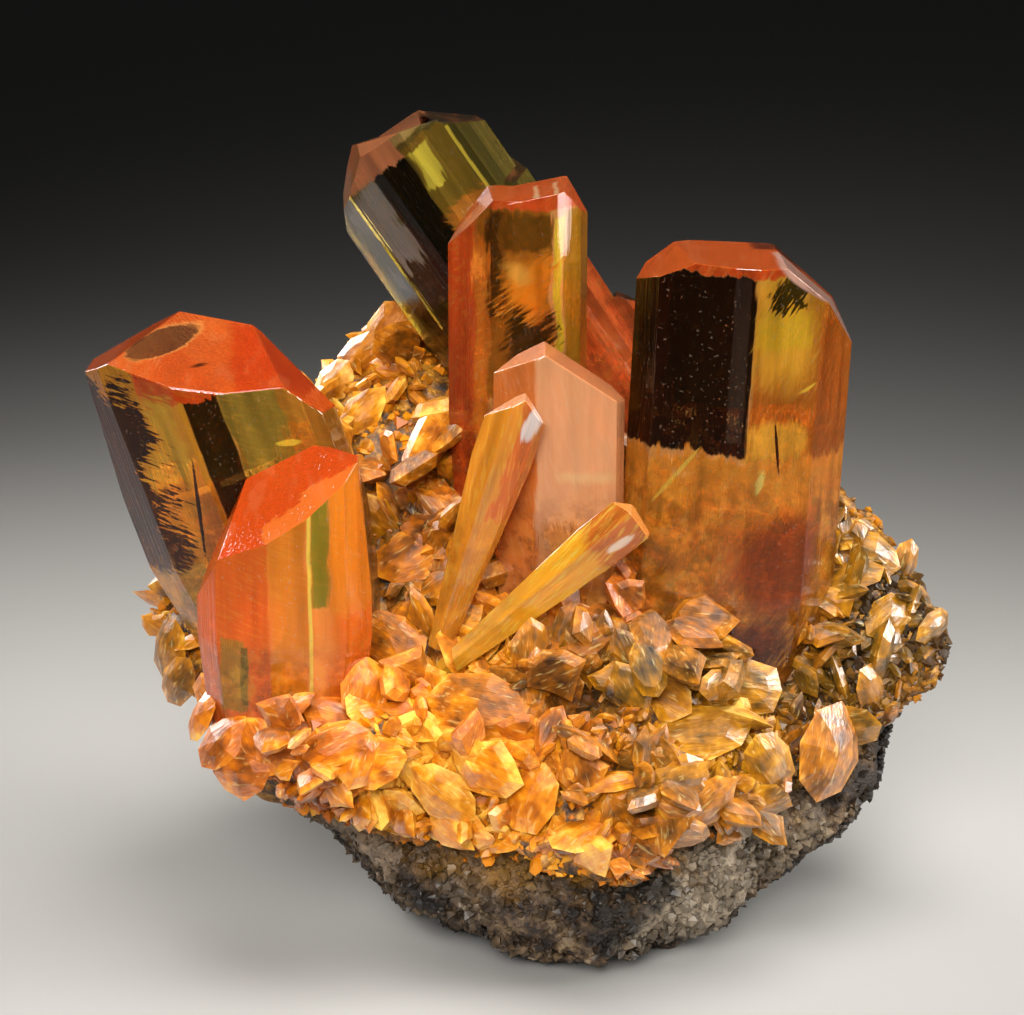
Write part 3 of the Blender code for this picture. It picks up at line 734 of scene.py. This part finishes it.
def lens(rings, corner_share):
    """(points, triangles, rim shares) of a lens of unit size, closed by a pole on each side.

    The rim has eight corners, pointed at both ends of its length where corner_share is small. A
    ring (share, height) lies that share of the way out to the rim, at that height.
    """
    turn = np.arange(LENS_CORNERS) / LENS_CORNERS * 2 * math.pi
    reach = np.where(np.arange(LENS_CORNERS) % 2 == 1, corner_share, 1)
    rim = 0.5 * np.stack((reach * np.cos(turn), reach * np.sin(turn), 0 * turn), -1)
    levels = [rim * (share, share, 0) + (0, 0, height) for share, height in rings]
    points = np.concatenate(levels + [np.array(((0, 0, 0.5), (0, 0, -0.5)))])
    shares = [np.full(LENS_CORNERS, share) for share, _ in rings] + [np.zeros(2)]
    return points, globe_faces(len(rings), LENS_CORNERS)[:, ::-1], np.concatenate(shares)


ROUND_LENS = lens(((0.55, 0.34), (1, 0), (0.55, -0.34)), 1.0)
POINTED_LENS = lens(((0.72, 0.4), (1, 0), (0.72, -0.4)), 0.82)
GRAIN = lens(((1, 0.12),), 0.9)


def crust_tone(points):
    """(lightness, warmth) of the crust at each point, from soft patches, those at the hollows painted
    shade, and random drift.
    """
    light = 0.5 + layered(points, LIGHT_DRIFT)
    warm = 0.5 + layered(points, WARMTH_DRIFT)
    for centre, radius, lighter, warmer in CRUST_PATCHES:
        near = np.exp(-((np.linalg.norm(points - centre, axis=-1) / radius) ** 2))
        light += lighter * near
        warm += warmer * near
    return light, warm


def blades(name, middles, sizes, turns, ragged, shape=ROUND_LENS, darkest=0.0):
    """Many lenses in one mesh: each is scaled, its corners drawn in or out at random, and turned."""
    points, faces, rim_share = shape
    count, corners = len(middles), len(points)
    scaled = points[None] * sizes[:, None]
    bend = 1 + ragged * rng.uniform(-1, 1, (count, LENS_CORNERS))
    bend = np.concatenate([bend] * (corners // LENS_CORNERS) + [np.ones((count, 2))], 1)
    scaled[..., :2] *= bend[..., None]
    placed = middles[:, None] + np.einsum("nij,nkj->nki", turns, scaled)
    numbers = faces[None] + (np.arange(count) * corners)[:, None, None]
    obj = new_piece(name, placed.reshape(-1, 3), numbers.reshape(-1, 3))
    grain = scaled + rng.uniform(-GRAIN_SHIFT, GRAIN_SHIFT, (count, 1, 3))
    layer = obj.data.attributes.new("grain", "FLOAT_VECTOR", "POINT")
    layer.data.foreach_set("vector", grain.astype(np.float32).ravel())
    light, warm = crust_tone(middles)
    light = light - CRUST_SHADE + rng.uniform(-LIGHT_SPREAD, LIGHT_SPREAD, count)
    warm = warm + rng.uniform(-WARMTH_SPREAD, WARMTH_SPREAD, count)
    set_values(
        obj, light=np.repeat(np.maximum(light, darkest), corners), warm=np.repeat(warm, corners),
        rim=np.tile(rim_share, count),
    )
    return obj


def clear_of_crystals(points, margin):
    """Which points lie outside every crystal's room, an oval column along its leaning axis."""
    clear = np.ones(len(points), bool)
    for crystal in CRYSTALS.values():
        lean = math.radians(crystal["lean"][0])
        half_width, half_depth = crystal["room"]
        offset = points - crystal["foot"]
        across = offset @ np.array((math.cos(lean), 0, -math.sin(lean)))
        along = offset @ np.array((math.sin(lean), 0, math.cos(lean)))
        oval = np.hypot(across / (half_width + margin), offset[:, 1] / (half_depth + margin))
        clear &= (oval > 1) | (along < -ROOM_BELOW_FOOT)
    return clear


def clear_of_large_blades(points):
    """Which points are not over the middle of one of the largest blades, whose faces stay bare."""
    clear = np.ones(len(points), bool)
    for middle, size, _ in LARGE_BLADES + FOOT_BLADES:
        clear &= np.linalg.norm(points - middle, axis=-1) > BARE_SHARE * size[0]
    return clear


def fine_blades(count, fans, lengths, standing, seed):
    """Random small blades in clusters: (middles, sizes, turns).

    A blade's thin direction is the crust's outward direction and a random one added together, so
    most lie tilted on the crust with a broad face out. A share of them stands: there the outward
    direction goes to the blade's length instead, and they fan out from the middle of the cluster.
    Clusters are smaller at the left edge.
    """
    draw = np.random.default_rng(seed)
    centres = unit(draw.normal(size=(count * 3, 3)))
    on_rock = ROCK_CENTRE + centres * rock_radius(centres)[:, None]
    depth = crust_depth(on_rock)
    keep = (depth > 0.6 * CRUST_DEPTH) & (in_hollows(on_rock + centres * depth[:, None]) < 0.3)
    centres, on_rock, depth = centres[keep][:count], on_rock[keep][:count], depth[keep][:count]
    size = draw.uniform(*lengths, len(centres)) * (0.6 + 0.4 * depth / CRUST_DEPTH)
    size = size * (1 - LEFT_EDGE_SHRINK * smooth_step(-on_rock[:, 0], *LEFT_EDGE))
    length = (size[:, None] * draw.uniform(*FINE_LENGTH_SHARES, (len(centres), fans))).ravel()
    out = np.repeat(centres, fans, axis=0)
    stands = (draw.uniform(size=len(out)) < standing)[:, None]
    loose = draw.normal(size=out.shape)
    upright = unit(out + STANDING_SPREAD * loose)
    thin = out + LYING_SPREAD * loose
    lying = unit(np.cross(unit(thin), draw.normal(size=out.shape)))
    along = np.where(stands, upright, lying)
    turned = np.cross(along, draw.normal(size=out.shape))
    across = unit(np.where(stands, turned, np.cross(thin, lying)))
    width = length * draw.uniform(*FINE_WIDTH_SHARES, len(length))
    thickness = length * draw.uniform(*FINE_THICKNESS_SHARES, len(length))
    sizes = np.stack((length, width, thickness), -1)
    root = np.repeat(on_rock + centres * (depth - ROOT_DEPTH)[:, None], fans, axis=0)
    root = root + CLUSTER_SPREAD * size.repeat(fans)[:, None] * draw.normal(size=root.shape)
    middles = root + along * length[:, None] * np.where(stands, STANDING_LIFT, 0)
    keep = clear_of_crystals(middles, BLADE_CLEARANCE) & clear_of_large_blades(middles)
    return middles[keep], sizes[keep], axes(along, across)[keep]


def past_limits(points):
    """How far the points reach past any of the crust's limits: negative inside all of them."""
    return np.max([(points - point) @ outward for point, outward in CRUST_LIMITS], axis=0)


def rooted(middles, sizes, turns, hang):
    """The blades whose ends hang less than that below the crust's edge and stay in its limits."""
    ends = np.stack((turns[:, :, 0] * sizes[:, :1], -turns[:, :, 0] * sizes[:, :1])) / 2 + middles
    above = np.min(above_edge(ends), axis=0)
    beyond = np.max(past_limits(ends), axis=0)
    keep = (above > -hang) & (beyond < LIMIT_SLACK) & (in_hollows(middles) < HOLLOW_BARE)
    return middles[keep], sizes[keep], turns[keep]


def strewn(draw, middles, smallest, largest):
    """(middles, sizes, turns) of grains turned at random, where small ones are commonest."""
    size = smallest + (largest - smallest) * draw.uniform(0, 1, len(middles)) ** 2
    along = unit(draw.normal(size=middles.shape))
    across = unit(np.cross(along, draw.normal(size=along.shape)))
    sizes = size[:, None] * draw.uniform(*GRAIN_SHARES, (len(middles), 3))
    return middles, sizes, axes(along, across)


def sugar_grains(count):
    """Chunky grains on the bare rock."""
    draw = np.random.default_rng(5)
    out = unit(draw.normal(size=(count, 3)))
    on_rock = ROCK_CENTRE + out * rock_radius(out)[:, None]
    keep = (above_edge(on_rock) < SUGAR_TOP) & (on_rock[:, 2] > SUGAR_BOTTOM)
    return strewn(draw, (on_rock + out * SUGAR_LIFT)[keep], *SUGAR_SIZES)


def golden_sugar(count):
    """Grains on the crust between its blades, and ever fewer for a little way past its edge."""
    draw = np.random.default_rng(6)
    out = [unit(draw.normal(size=(count, 3)))]
    for middle, spread, more in SUGAR_SPOTS:
        toward = unit(np.array(middle) - ROCK_CENTRE)
        out.append(unit(toward + spread * draw.normal(size=(more, 3))))
    out = np.concatenate(out)
    count = len(out)
    ground, _ = crust_surface(out)
    radius = np.maximum(ground, rock_radius(out)) + GOLDEN_SUGAR_LIFT
    middles = ROCK_CENTRE + out * radius[:, None]
    keep = draw.uniform(-GOLDEN_SUGAR_FADE, 0, count) < above_edge(middles)
    keep &= past_limits(middles) < draw.uniform(0, GOLDEN_SUGAR_FADE, count)
    keep &= clear_of_crystals(middles, SUGAR_CLEARANCE)
    return strewn(draw, middles[keep], *GOLDEN_SUGAR_SIZES)


def crystal(node):
    """A large crystal: its solid's faces, merged where they are flat, with its edges eased."""
    bm = bmesh.new()
    bm.from_mesh(bpy.data.objects[node].data)
    bmesh.ops.remove_doubles(bm, verts=bm.verts, dist=MERGE_DISTANCE)
    bmesh.ops.dissolve_limit(bm, angle_limit=FLAT_ANGLE, verts=bm.verts, edges=bm.edges)
    bmesh.ops.recalc_face_normals(bm, faces=bm.faces)
    lean_right, lean_back = (math.radians(angle) for angle in CRYSTALS[node]["lean"])
    axis = Vector((math.sin(lean_right), 0, math.cos(lean_right)))
    axis.rotate(Euler((-lean_back, 0, 0)))
    end = bm.faces.layers.float.new("end")
    for face in bm.faces:
        face[end] = 1.0 if face.normal.dot(axis) > END_FACE_SLOPE else 0.0
    mesh = bpy.data.meshes.new(f"{node}_clear")
    bm.to_mesh(mesh)
    bm.free()
    obj = in_scene(f"{node}_clear", mesh)
    ease = obj.modifiers.new("Eased edges", "BEVEL")
    ease.width = EDGE_EASE
    ease.segments = 2
    ease.limit_method = "ANGLE"
    ease.angle_limit = EDGE_ANGLE
    return obj


def linear(code):
    """Linear colour from an sRGB hex code."""
    values = [int(code[i:i + 2], 16) / 255 for i in (1, 3, 5)]
    return [v / 12.92 if v <= 0.04045 else ((v + 0.055) / 1.055) ** 2.4 for v in values] + [1]


def new_material(name):
    material = bpy.data.materials.new(name)
    material.use_nodes = True
    material.node_tree.nodes.clear()
    return material, material.node_tree


def join(tree, value, socket):
    """Set an input to a value, or link it from a socket or from a node's first output in use."""
    if isinstance(value, bpy.types.Node):
        value = next(output for output in value.outputs if output.enabled)
    if isinstance(value, bpy.types.NodeSocket):
        tree.links.new(value, socket)
    else:
        socket.default_value = value


def add(tree, kind, settings=None, **inputs):
    """A shader node with its settings and inputs, whose names have _ for a space."""
    node = tree.nodes.new("ShaderNode" + kind)
    for key, value in (settings or {}).items():
        setattr(node, key, value)
    for key, value in inputs.items():
        name = key.replace("_", " ")
        join(tree, value, next(s for s in node.inputs if s.name == name and s.enabled))
    return node


def chain(tree, operation, *values):
    """The values brought together by one math operation, two at a time."""
    result = values[0]
    for value in values[1:]:
        node = add(tree, "Math", {"operation": operation})
        join(tree, result, node.inputs[0])
        join(tree, value, node.inputs[1])
        result = node
    return result


def ramp(tree, factor, *stops):
    node = add(tree, "ValToRGB", Fac=factor)
    elements = node.color_ramp.elements
    while len(elements) < len(stops):
        elements.new(0.5)
    for element, (place, code) in zip(elements, stops, strict=True):
        element.position = place
        element.color = linear(code)
    return node


def tint(tree, under, over, mask, blend="MIX"):
    """One colour laid over another as far as the mask goes."""
    over = linear(over) if isinstance(over, str) else over
    settings = {"data_type": "RGBA", "blend_type": blend}
    return add(tree, "Mix", settings, Factor=mask, A=under, B=over)


def step(tree, value, middle, soft, start, end):
    """From start to end while the value passes the middle, eased over the width soft."""
    return add(
        tree, "MapRange", {"interpolation_type": "SMOOTHSTEP"}, Value=value,
        From_Min=middle - soft / 2, From_Max=middle + soft / 2, To_Min=start, To_Max=end,
    )


def centred(tree, noise, height):
    """A noise between plus and minus half the height."""
    return chain(tree, "MULTIPLY", chain(tree, "ADD", noise, -0.5), height)


def attributes(tree, *names):
    return [add(tree, "Attribute", {"attribute_name": name}).outputs["Fac"] for name in names]


def shade(tree, **inputs):
    """The surface of a material, joined to its output, which is returned."""
    return add(tree, "OutputMaterial", Surface=add(tree, "BsdfPrincipled", **inputs))


def stained_rock(tree, place, grey):
    """The grey rock with cream under the crust's edge, and pale and black patches where they lie."""
    apart = add(tree, "VectorMath", {"operation": "SUBTRACT"}, Vector=place)
    apart.inputs[1].default_value = CRUST_EDGE_POINT * MM
    above = add(tree, "VectorMath", {"operation": "DOT_PRODUCT"}, Vector=apart)
    above.inputs[1].default_value = CRUST_EDGE_NORMAL / MM
    drift = add(tree, "TexNoise", Vector=place, Scale=160, Detail=3, Roughness=0.6)
    wander = centred(tree, drift, 24)
    height = chain(tree, "ADD", above, wander)
    colour = grey
    for code, centre, radius, share in ROCK_PATCHES:
        inside = add(
            tree, "Mapping", {"vector_type": "TEXTURE"}, Vector=place,
            Location=[value * MM for value in centre], Scale=[radius * MM] * 3,
        )
        far = add(tree, "VectorMath", {"operation": "LENGTH"}, Vector=inside)
        far = chain(tree, "ADD", far, chain(tree, "MULTIPLY", wander, 0.12))
        colour = tint(tree, colour, code, step(tree, far, 0.85, 0.5, share, 0))
    return tint(tree, colour, "#8E6420", step(tree, height, -1.5, 9, 0, 0.85))


def rock_material():
    """Massive gypsum and limestone matrix: grey-brown and sugary, with pale and black patches."""
    material, tree = new_material("sugary_matrix_rock")
    place = add(tree, "TexCoord").outputs["Object"]
    patches = add(tree, "TexNoise", Vector=place, Scale=220, Detail=5, Roughness=0.75)
    sugar = add(tree, "TexNoise", Vector=place, Scale=900, Detail=3, Roughness=0.75)
    body = ramp(
        tree, patches,
        (0.34, "#120C07"), (0.44, "#33251A"), (0.52, "#5A4530"), (0.60, "#80694E"), (0.72, "#5A3F22"),
    )
    sparkle = ramp(tree, sugar, (0.35, "#8A7E72"), (0.65, "#FFFAF4"))
    colour = tint(tree, stained_rock(tree, place, body), sparkle, 0.6, "MULTIPLY")
    relief = add(tree, "Bump", Height=sugar, Strength=1.0, Distance=0.001)
    shade(tree, Base_Color=colour, Roughness=0.65, Normal=relief)
    return material


def sugar_material():
    """Sugary white to grey gypsum grains on the matrix, stained brown and black in patches."""
    material, tree = new_material("sugary_gypsum_grains")
    place = add(tree, "TexCoord").outputs["Object"]
    patches = add(tree, "TexNoise", Vector=place, Scale=220, Detail=3, Roughness=0.7)
    light, = attributes(tree, "light")
    body = ramp(
        tree, patches, (0.36, "#1A120B"), (0.45, "#3E2F20"), (0.54, "#655039"), (0.66, "#8A7458"),
    )
    tone = ramp(tree, light, (0.2, "#6A645C"), (0.75, "#FFFFFF"))
    colour = tint(tree, stained_rock(tree, place, body), tone, 1.0, "MULTIPLY")
    shade(tree, Base_Color=colour, Roughness=0.45, IOR=GYPSUM_IOR, Specular_IOR_Level=0.3)
    return material


def crust_material():
    """Massive golden gypsum between the blades: olive to honey brown, rough as raw sugar."""
    material, tree = new_material("massive_golden_gypsum")
    place = add(tree, "TexCoord").outputs["Object"]
    patches = add(tree, "TexNoise", Vector=place, Scale=380, Detail=3, Roughness=0.7)
    body = ramp(
        tree, patches, (0.34, "#1E1206"), (0.46, "#5E3A0A"), (0.56, "#94600F"), (0.68, "#C88E28"),
    )
    hollow, = attributes(tree, "hollow")
    # Painted shade: the ground is darkened in the hollows between the blades.
    body = tint(tree, body, "#1C1207", chain(tree, "MULTIPLY", hollow, 0.85))
    fine = add(tree, "TexNoise", Vector=place, Scale=900, Detail=3, Roughness=0.6)
    relief = add(tree, "Bump", Height=fine, Strength=0.8, Distance=0.0006)
    shade(tree, Base_Color=body, Roughness=0.5, IOR=GYPSUM_IOR, Normal=relief)
    return material


def crust_tones(tree, tone, warm):
    """Orange or yellow gypsum, as the warmth gives, from dark to light with the tone."""
    orange = ramp(
        tree, tone,
        (0.0, "#42200A"), (0.25, "#84420A"), (0.48, "#B65C07"), (0.70, "#D87C0A"), (1.0, "#F4B234"),
    )
    yellow = ramp(
        tree, tone,
        (0.0, "#2E1E08"), (0.25, "#66460A"), (0.48, "#9A640A"), (0.70, "#C28610"), (1.0, "#EEC65C"),
    )
    return tint(tree, yellow, orange, warm)


def golden_sugar_material():
    """Sugary golden gypsum: small grains, each of its own tone, satin and closed to the light."""
    material, tree = new_material("sugary_golden_gypsum")
    light, warm = attributes(tree, "light", "warm")
    colour = crust_tones(tree, chain(tree, "MULTIPLY", light, 1.15), warm)
    shade(tree, Roughness=0.4, IOR=GYPSUM_IOR, Specular_IOR_Level=0.3, Base_Color=colour)
    return material


def blade_material():
    """Golden gypsum blades, orange to yellow: glassy faces, wispy inside, with thin rims painted
    lighter as glow.
    """
    material, tree = new_material("golden_gypsum_blades")
    place = add(tree, "TexCoord").outputs["Object"]
    light, warm, rim = attributes(tree, "light", "warm", "rim")
    grain = add(tree, "Attribute", {"attribute_name": "grain"}).outputs["Vector"]
    along = add(tree, "Mapping", Vector=grain, Scale=(0.22, 1.1, 1.1))
    cloud = add(tree, "TexNoise", Vector=place, Scale=280, Detail=2, Roughness=0.7)
    streaks = add(tree, "TexNoise", Vector=along, Scale=1, Detail=3, Roughness=0.65)
    # Painted glow: thin rims are made lighter, as where light shines through the blade's edge.
    edge = chain(tree, "MULTIPLY", chain(tree, "POWER", rim, 4), 0.2)
    tone = chain(tree, "ADD", light, centred(tree, cloud, 1.3), centred(tree, streaks, 0.55), edge)
    glints = add(tree, "TexNoise", Vector=along, Scale=1.7, Detail=1)
    glint = ramp(tree, glints, (0.6, "#000000"), (0.74, "#909090"))
    body = tint(tree, crust_tones(tree, tone, warm), "#FFE08A", glint)
    relief = add(tree, "Bump", Height=streaks, Strength=0.3, Distance=0.0008)
    shade(
        tree, Base_Color=body, Roughness=0.38, IOR=GYPSUM_IOR, Specular_IOR_Level=0.08,
        Transmission_Weight=0.2, Normal=relief,
    )
    return material


def clear_material(node):
    """Amber selenite: glass-smooth cleavage faces, tinted in growth zones and with painted shade,
    reflections and crust seen through, with fine striations.

    The depth of a large one absorbs blue first, then green, so thick places look amber to olive.
    """
    crystal = CRYSTALS[node]
    material, tree = new_material(f"amber_selenite_{node}")
    place = add(tree, "TexCoord").outputs["Object"]
    lean_right, lean_back = (math.radians(angle) for angle in crystal["lean"])
    local = add(
        tree, "Mapping", {"vector_type": "TEXTURE"}, Vector=place,
        Location=[value * MM for value in crystal["foot"]], Rotation=(-lean_back, lean_right, 0),
        Scale=(MM, MM, MM),
    )
    apart = add(tree, "SeparateXYZ", Vector=local)
    fibres = add(tree, "Mapping", Vector=local, Scale=(0.9, 0.9, 0.1))
    slant = add(
        tree, "Mapping", {"vector_type": "TEXTURE"}, Vector=local,
        Rotation=(0, math.radians(crystal["barb"]), 0), Scale=(4.2, 1.2, 0.42),
    )
    ragged = add(tree, "TexNoise", Vector=fibres, Scale=1, Detail=3, Roughness=0.65)
    barbs = add(tree, "TexNoise", Vector=slant, Scale=1, Detail=3, Roughness=0.6)
    wander = add(tree, "TexNoise", Vector=local, Scale=0.14, Detail=1)
    ragged_edge, barbed_edge = (
        chain(tree, "MULTIPLY", chain(tree, "ADD", noise, wander, -1.0), 4.0)
        for noise in (ragged, barbs)
    )

    def tint_zones(under, zones, edge, within):
        for code, *limits, rag, soft in zones:
            shift = chain(tree, "MULTIPLY", edge, rag)
            masks = [within]
            for axis, (low, high) in zip("XYZ", limits):
                value = chain(tree, "ADD", apart.outputs[axis], shift)
                if low is not None:
                    masks.append(step(tree, value, low, soft, 0, 1))
                if high is not None:
                    masks.append(step(tree, value, high, soft, 1, 0))
            under = tint(tree, under, code, chain(tree, "MULTIPLY", *masks))
        return under

    colour = tint_zones(linear(crystal["body"]), crystal["zones"], ragged_edge, 1.0)
    colour = tint_zones(colour, crystal["feathers"], barbed_edge, 1.0)

    fibre, share = crystal["fibre"]
    bright = step(tree, barbs, 0.58, 0.2, 0, share)
    brightness = add(tree, "RGBToBW", Color=colour)
    not_dark = step(tree, brightness, 0.2, 0.3, 0, 1)
    colour = tint(tree, colour, fibre, chain(tree, "MULTIPLY", bright, not_dark))

    end, = attributes(tree, "end")
    fans = add(tree, "Mapping", Vector=local, Scale=(0.5, 0.12, 0.3), Rotation=(0, 0.5, 0))
    fanned = add(tree, "TexNoise", Vector=fans, Scale=1, Detail=1)
    # End faces: partly the crystal's own colour, partly painted light, the orange crust seen through
    # them.
    colour = tint(tree, colour, crystal["end"], end)
    colour = tint_zones(colour, crystal["ends"], ragged_edge, end)
    streak = chain(tree, "MULTIPLY", end, step(tree, fanned, 0.6, 0.2, 0, 0.2))
    colour = tint(tree, colour, "#FF9A60", streak)

    # Painted refraction: the crust seen through the crystal, as dark and bright blotches low down.
    height, dark_share = crystal["seen_crust"]
    blotches = add(tree, "TexNoise", Vector=local, Scale=0.3, Detail=3, Roughness=0.65)
    for tone, most, mask in (
        ("#6E3410", dark_share, step(tree, blotches, 0.5, 0.16, 1, 0)),
        ("#FFC24A", share, step(tree, blotches, 0.6, 0.1, 0, 1)),
    ):
        low_down = step(tree, apart.outputs["Z"], height, 0.6 * height, most, 0)
        colour = tint(tree, colour, tone, chain(tree, "MULTIPLY", low_down, mask))

    for code, centre, radii, turn, rag, soft in crystal["spots"]:
        inside = add(
            tree, "Mapping", {"vector_type": "TEXTURE"}, Vector=local, Location=centre,
            Rotation=[math.radians(angle) for angle in turn], Scale=radii,
        )
        far = add(tree, "VectorMath", {"operation": "LENGTH"}, Vector=inside)
        far = chain(tree, "ADD", far, chain(tree, "MULTIPLY", barbed_edge, rag * 0.3))
        colour = tint(tree, colour, code, step(tree, far, 0.9, soft, 1, 0))

    dust = add(tree, "TexNoise", Vector=local, Scale=2.6, Detail=0)
    specks = chain(tree, "SUBTRACT", step(tree, dust, 0.76, 0.06, 0, 0.3), end)
    colour = tint(tree, colour, "#C8B8A0", chain(tree, "MAXIMUM", specks, 0.0))
    cloud = add(tree, "TexNoise", Vector=fibres, Scale=0.5, Detail=1)
    veil = ramp(tree, cloud, (0.3, "#D0D0D0"), (0.6, "#FFFFFF"))
    veiled = chain(tree, "MULTIPLY", chain(tree, "SUBTRACT", 1.0, end), crystal["veil"])
    colour = tint(tree, colour, veil, veiled, "MULTIPLY")

    lines = add(tree, "Mapping", Vector=local, Scale=(2.2, 2.2, 0.05))
    grooves = add(tree, "TexNoise", Vector=lines, Scale=1, Detail=1)
    relief = add(tree, "Bump", Height=grooves, Strength=0.15, Distance=0.0004)
    output = shade(
        tree, Base_Color=colour, Roughness=0.03, IOR=GYPSUM_IOR, Specular_IOR_Level=0.35,
        Transmission_Weight=crystal["clear"], Normal=relief,
    )
    if crystal["room"][1] > SLIM_HALF_DEPTH:
        depth = add(tree, "VolumeAbsorption", Color=(0.97, 0.90, 0.45, 1), Density=60)
        join(tree, depth, output.inputs["Volume"])
    return material


def dress(piece, material, node):
    piece.data.materials.append(material)
    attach(piece, "root")
    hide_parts(node)


def make_specimen():
    """The rock with its grains, the crust with its blades from large to small, and the crystals."""
    dress(matrix_rock(), rock_material(), "matrix")
    sugar = blades("sugar_grains", *sugar_grains(SUGAR_COUNT), 0.3, GRAIN)
    dress(sugar, sugar_material(), "matrix")

    gold = blade_material()
    middle = rooted(*middle_blades(), hang=1)
    fine = rooted(*fine_blades(380, 6, (6, 12), 0.3, seed=21), hang=1.5)
    finest = rooted(*fine_blades(1100, 4, (3, 6), 0.6, seed=22), hang=2)
    sugar = golden_sugar(GOLDEN_SUGAR_COUNT)
    for piece, material in (
        (crust_ground(), crust_material()),
        (blades("large_blades", *placed_blades(), 0.08, darkest=0.38), gold),
        (blades("middle_blades", *middle, 0.14, darkest=0.33), gold),
        (blades("fine_blades", *fine, 0.18, POINTED_LENS, darkest=0.25), gold),
        (blades("finest_blades", *finest, 0.25, POINTED_LENS, darkest=0.15), gold),
        (blades("golden_sugar", *sugar, 0.3, GRAIN), golden_sugar_material()),
    ):
        dress(piece, material, "druse")

    for node in CRYSTALS:
        dress(crystal(node), clear_material(node), node)


def point_at(obj, place, target):
    direction = np.array(target) - np.array(place)
    obj.location = np.array(place) * MM
    flat = math.hypot(direction[0], direction[1])
    tilt = math.atan2(flat, -direction[2])
    obj.rotation_euler = (tilt, 0, math.atan2(direction[1], direction[0]) - math.pi / 2)


def make_studio():
    """A pale floor, soft lamps close over the specimen, and the camera in front, a little above."""
    mesh = bpy.data.meshes.new("floor")
    mesh.from_pydata([(-4, -4, 0), (4, -4, 0), (4, 4, 0), (-4, 4, 0)], [], [(0, 1, 2, 3)])
    floor = in_scene("floor", mesh)
    material, tree = new_material("pale_matte_board")
    shade(tree, Base_Color=linear("#A3A09B"), Roughness=0.4)
    mesh.materials.append(material)

    for name, place, target, size, watts, spread in LAMPS:
        light = bpy.data.lights.new(name, "AREA")
        light.shape = "RECTANGLE"
        light.size, light.size_y = size[0] * MM, size[1] * MM
        light.energy = watts
        light.spread = math.radians(spread)
        point_at(in_scene(name, light), place, target)

    world = bpy.data.worlds.new("studio")
    bpy.context.scene.world = world
    world.use_nodes = True
    background = world.node_tree.nodes["Background"]
    background.inputs["Color"].default_value = linear("#8C8C8C")
    background.inputs["Strength"].default_value = 0.05
    bpy.context.scene.view_settings.view_transform = "Standard"

    camera = bpy.data.cameras.new("camera")
    camera.lens = 100
    camera.sensor_width = 36
    camera.sensor_fit = "HORIZONTAL"
    camera.clip_start = 0.01
    obj = in_scene("camera", camera)
    point_at(obj, CAMERA_PLACE, CAMERA_TARGET)
    bpy.context.scene.camera = obj


make_specimen()
make_studio()
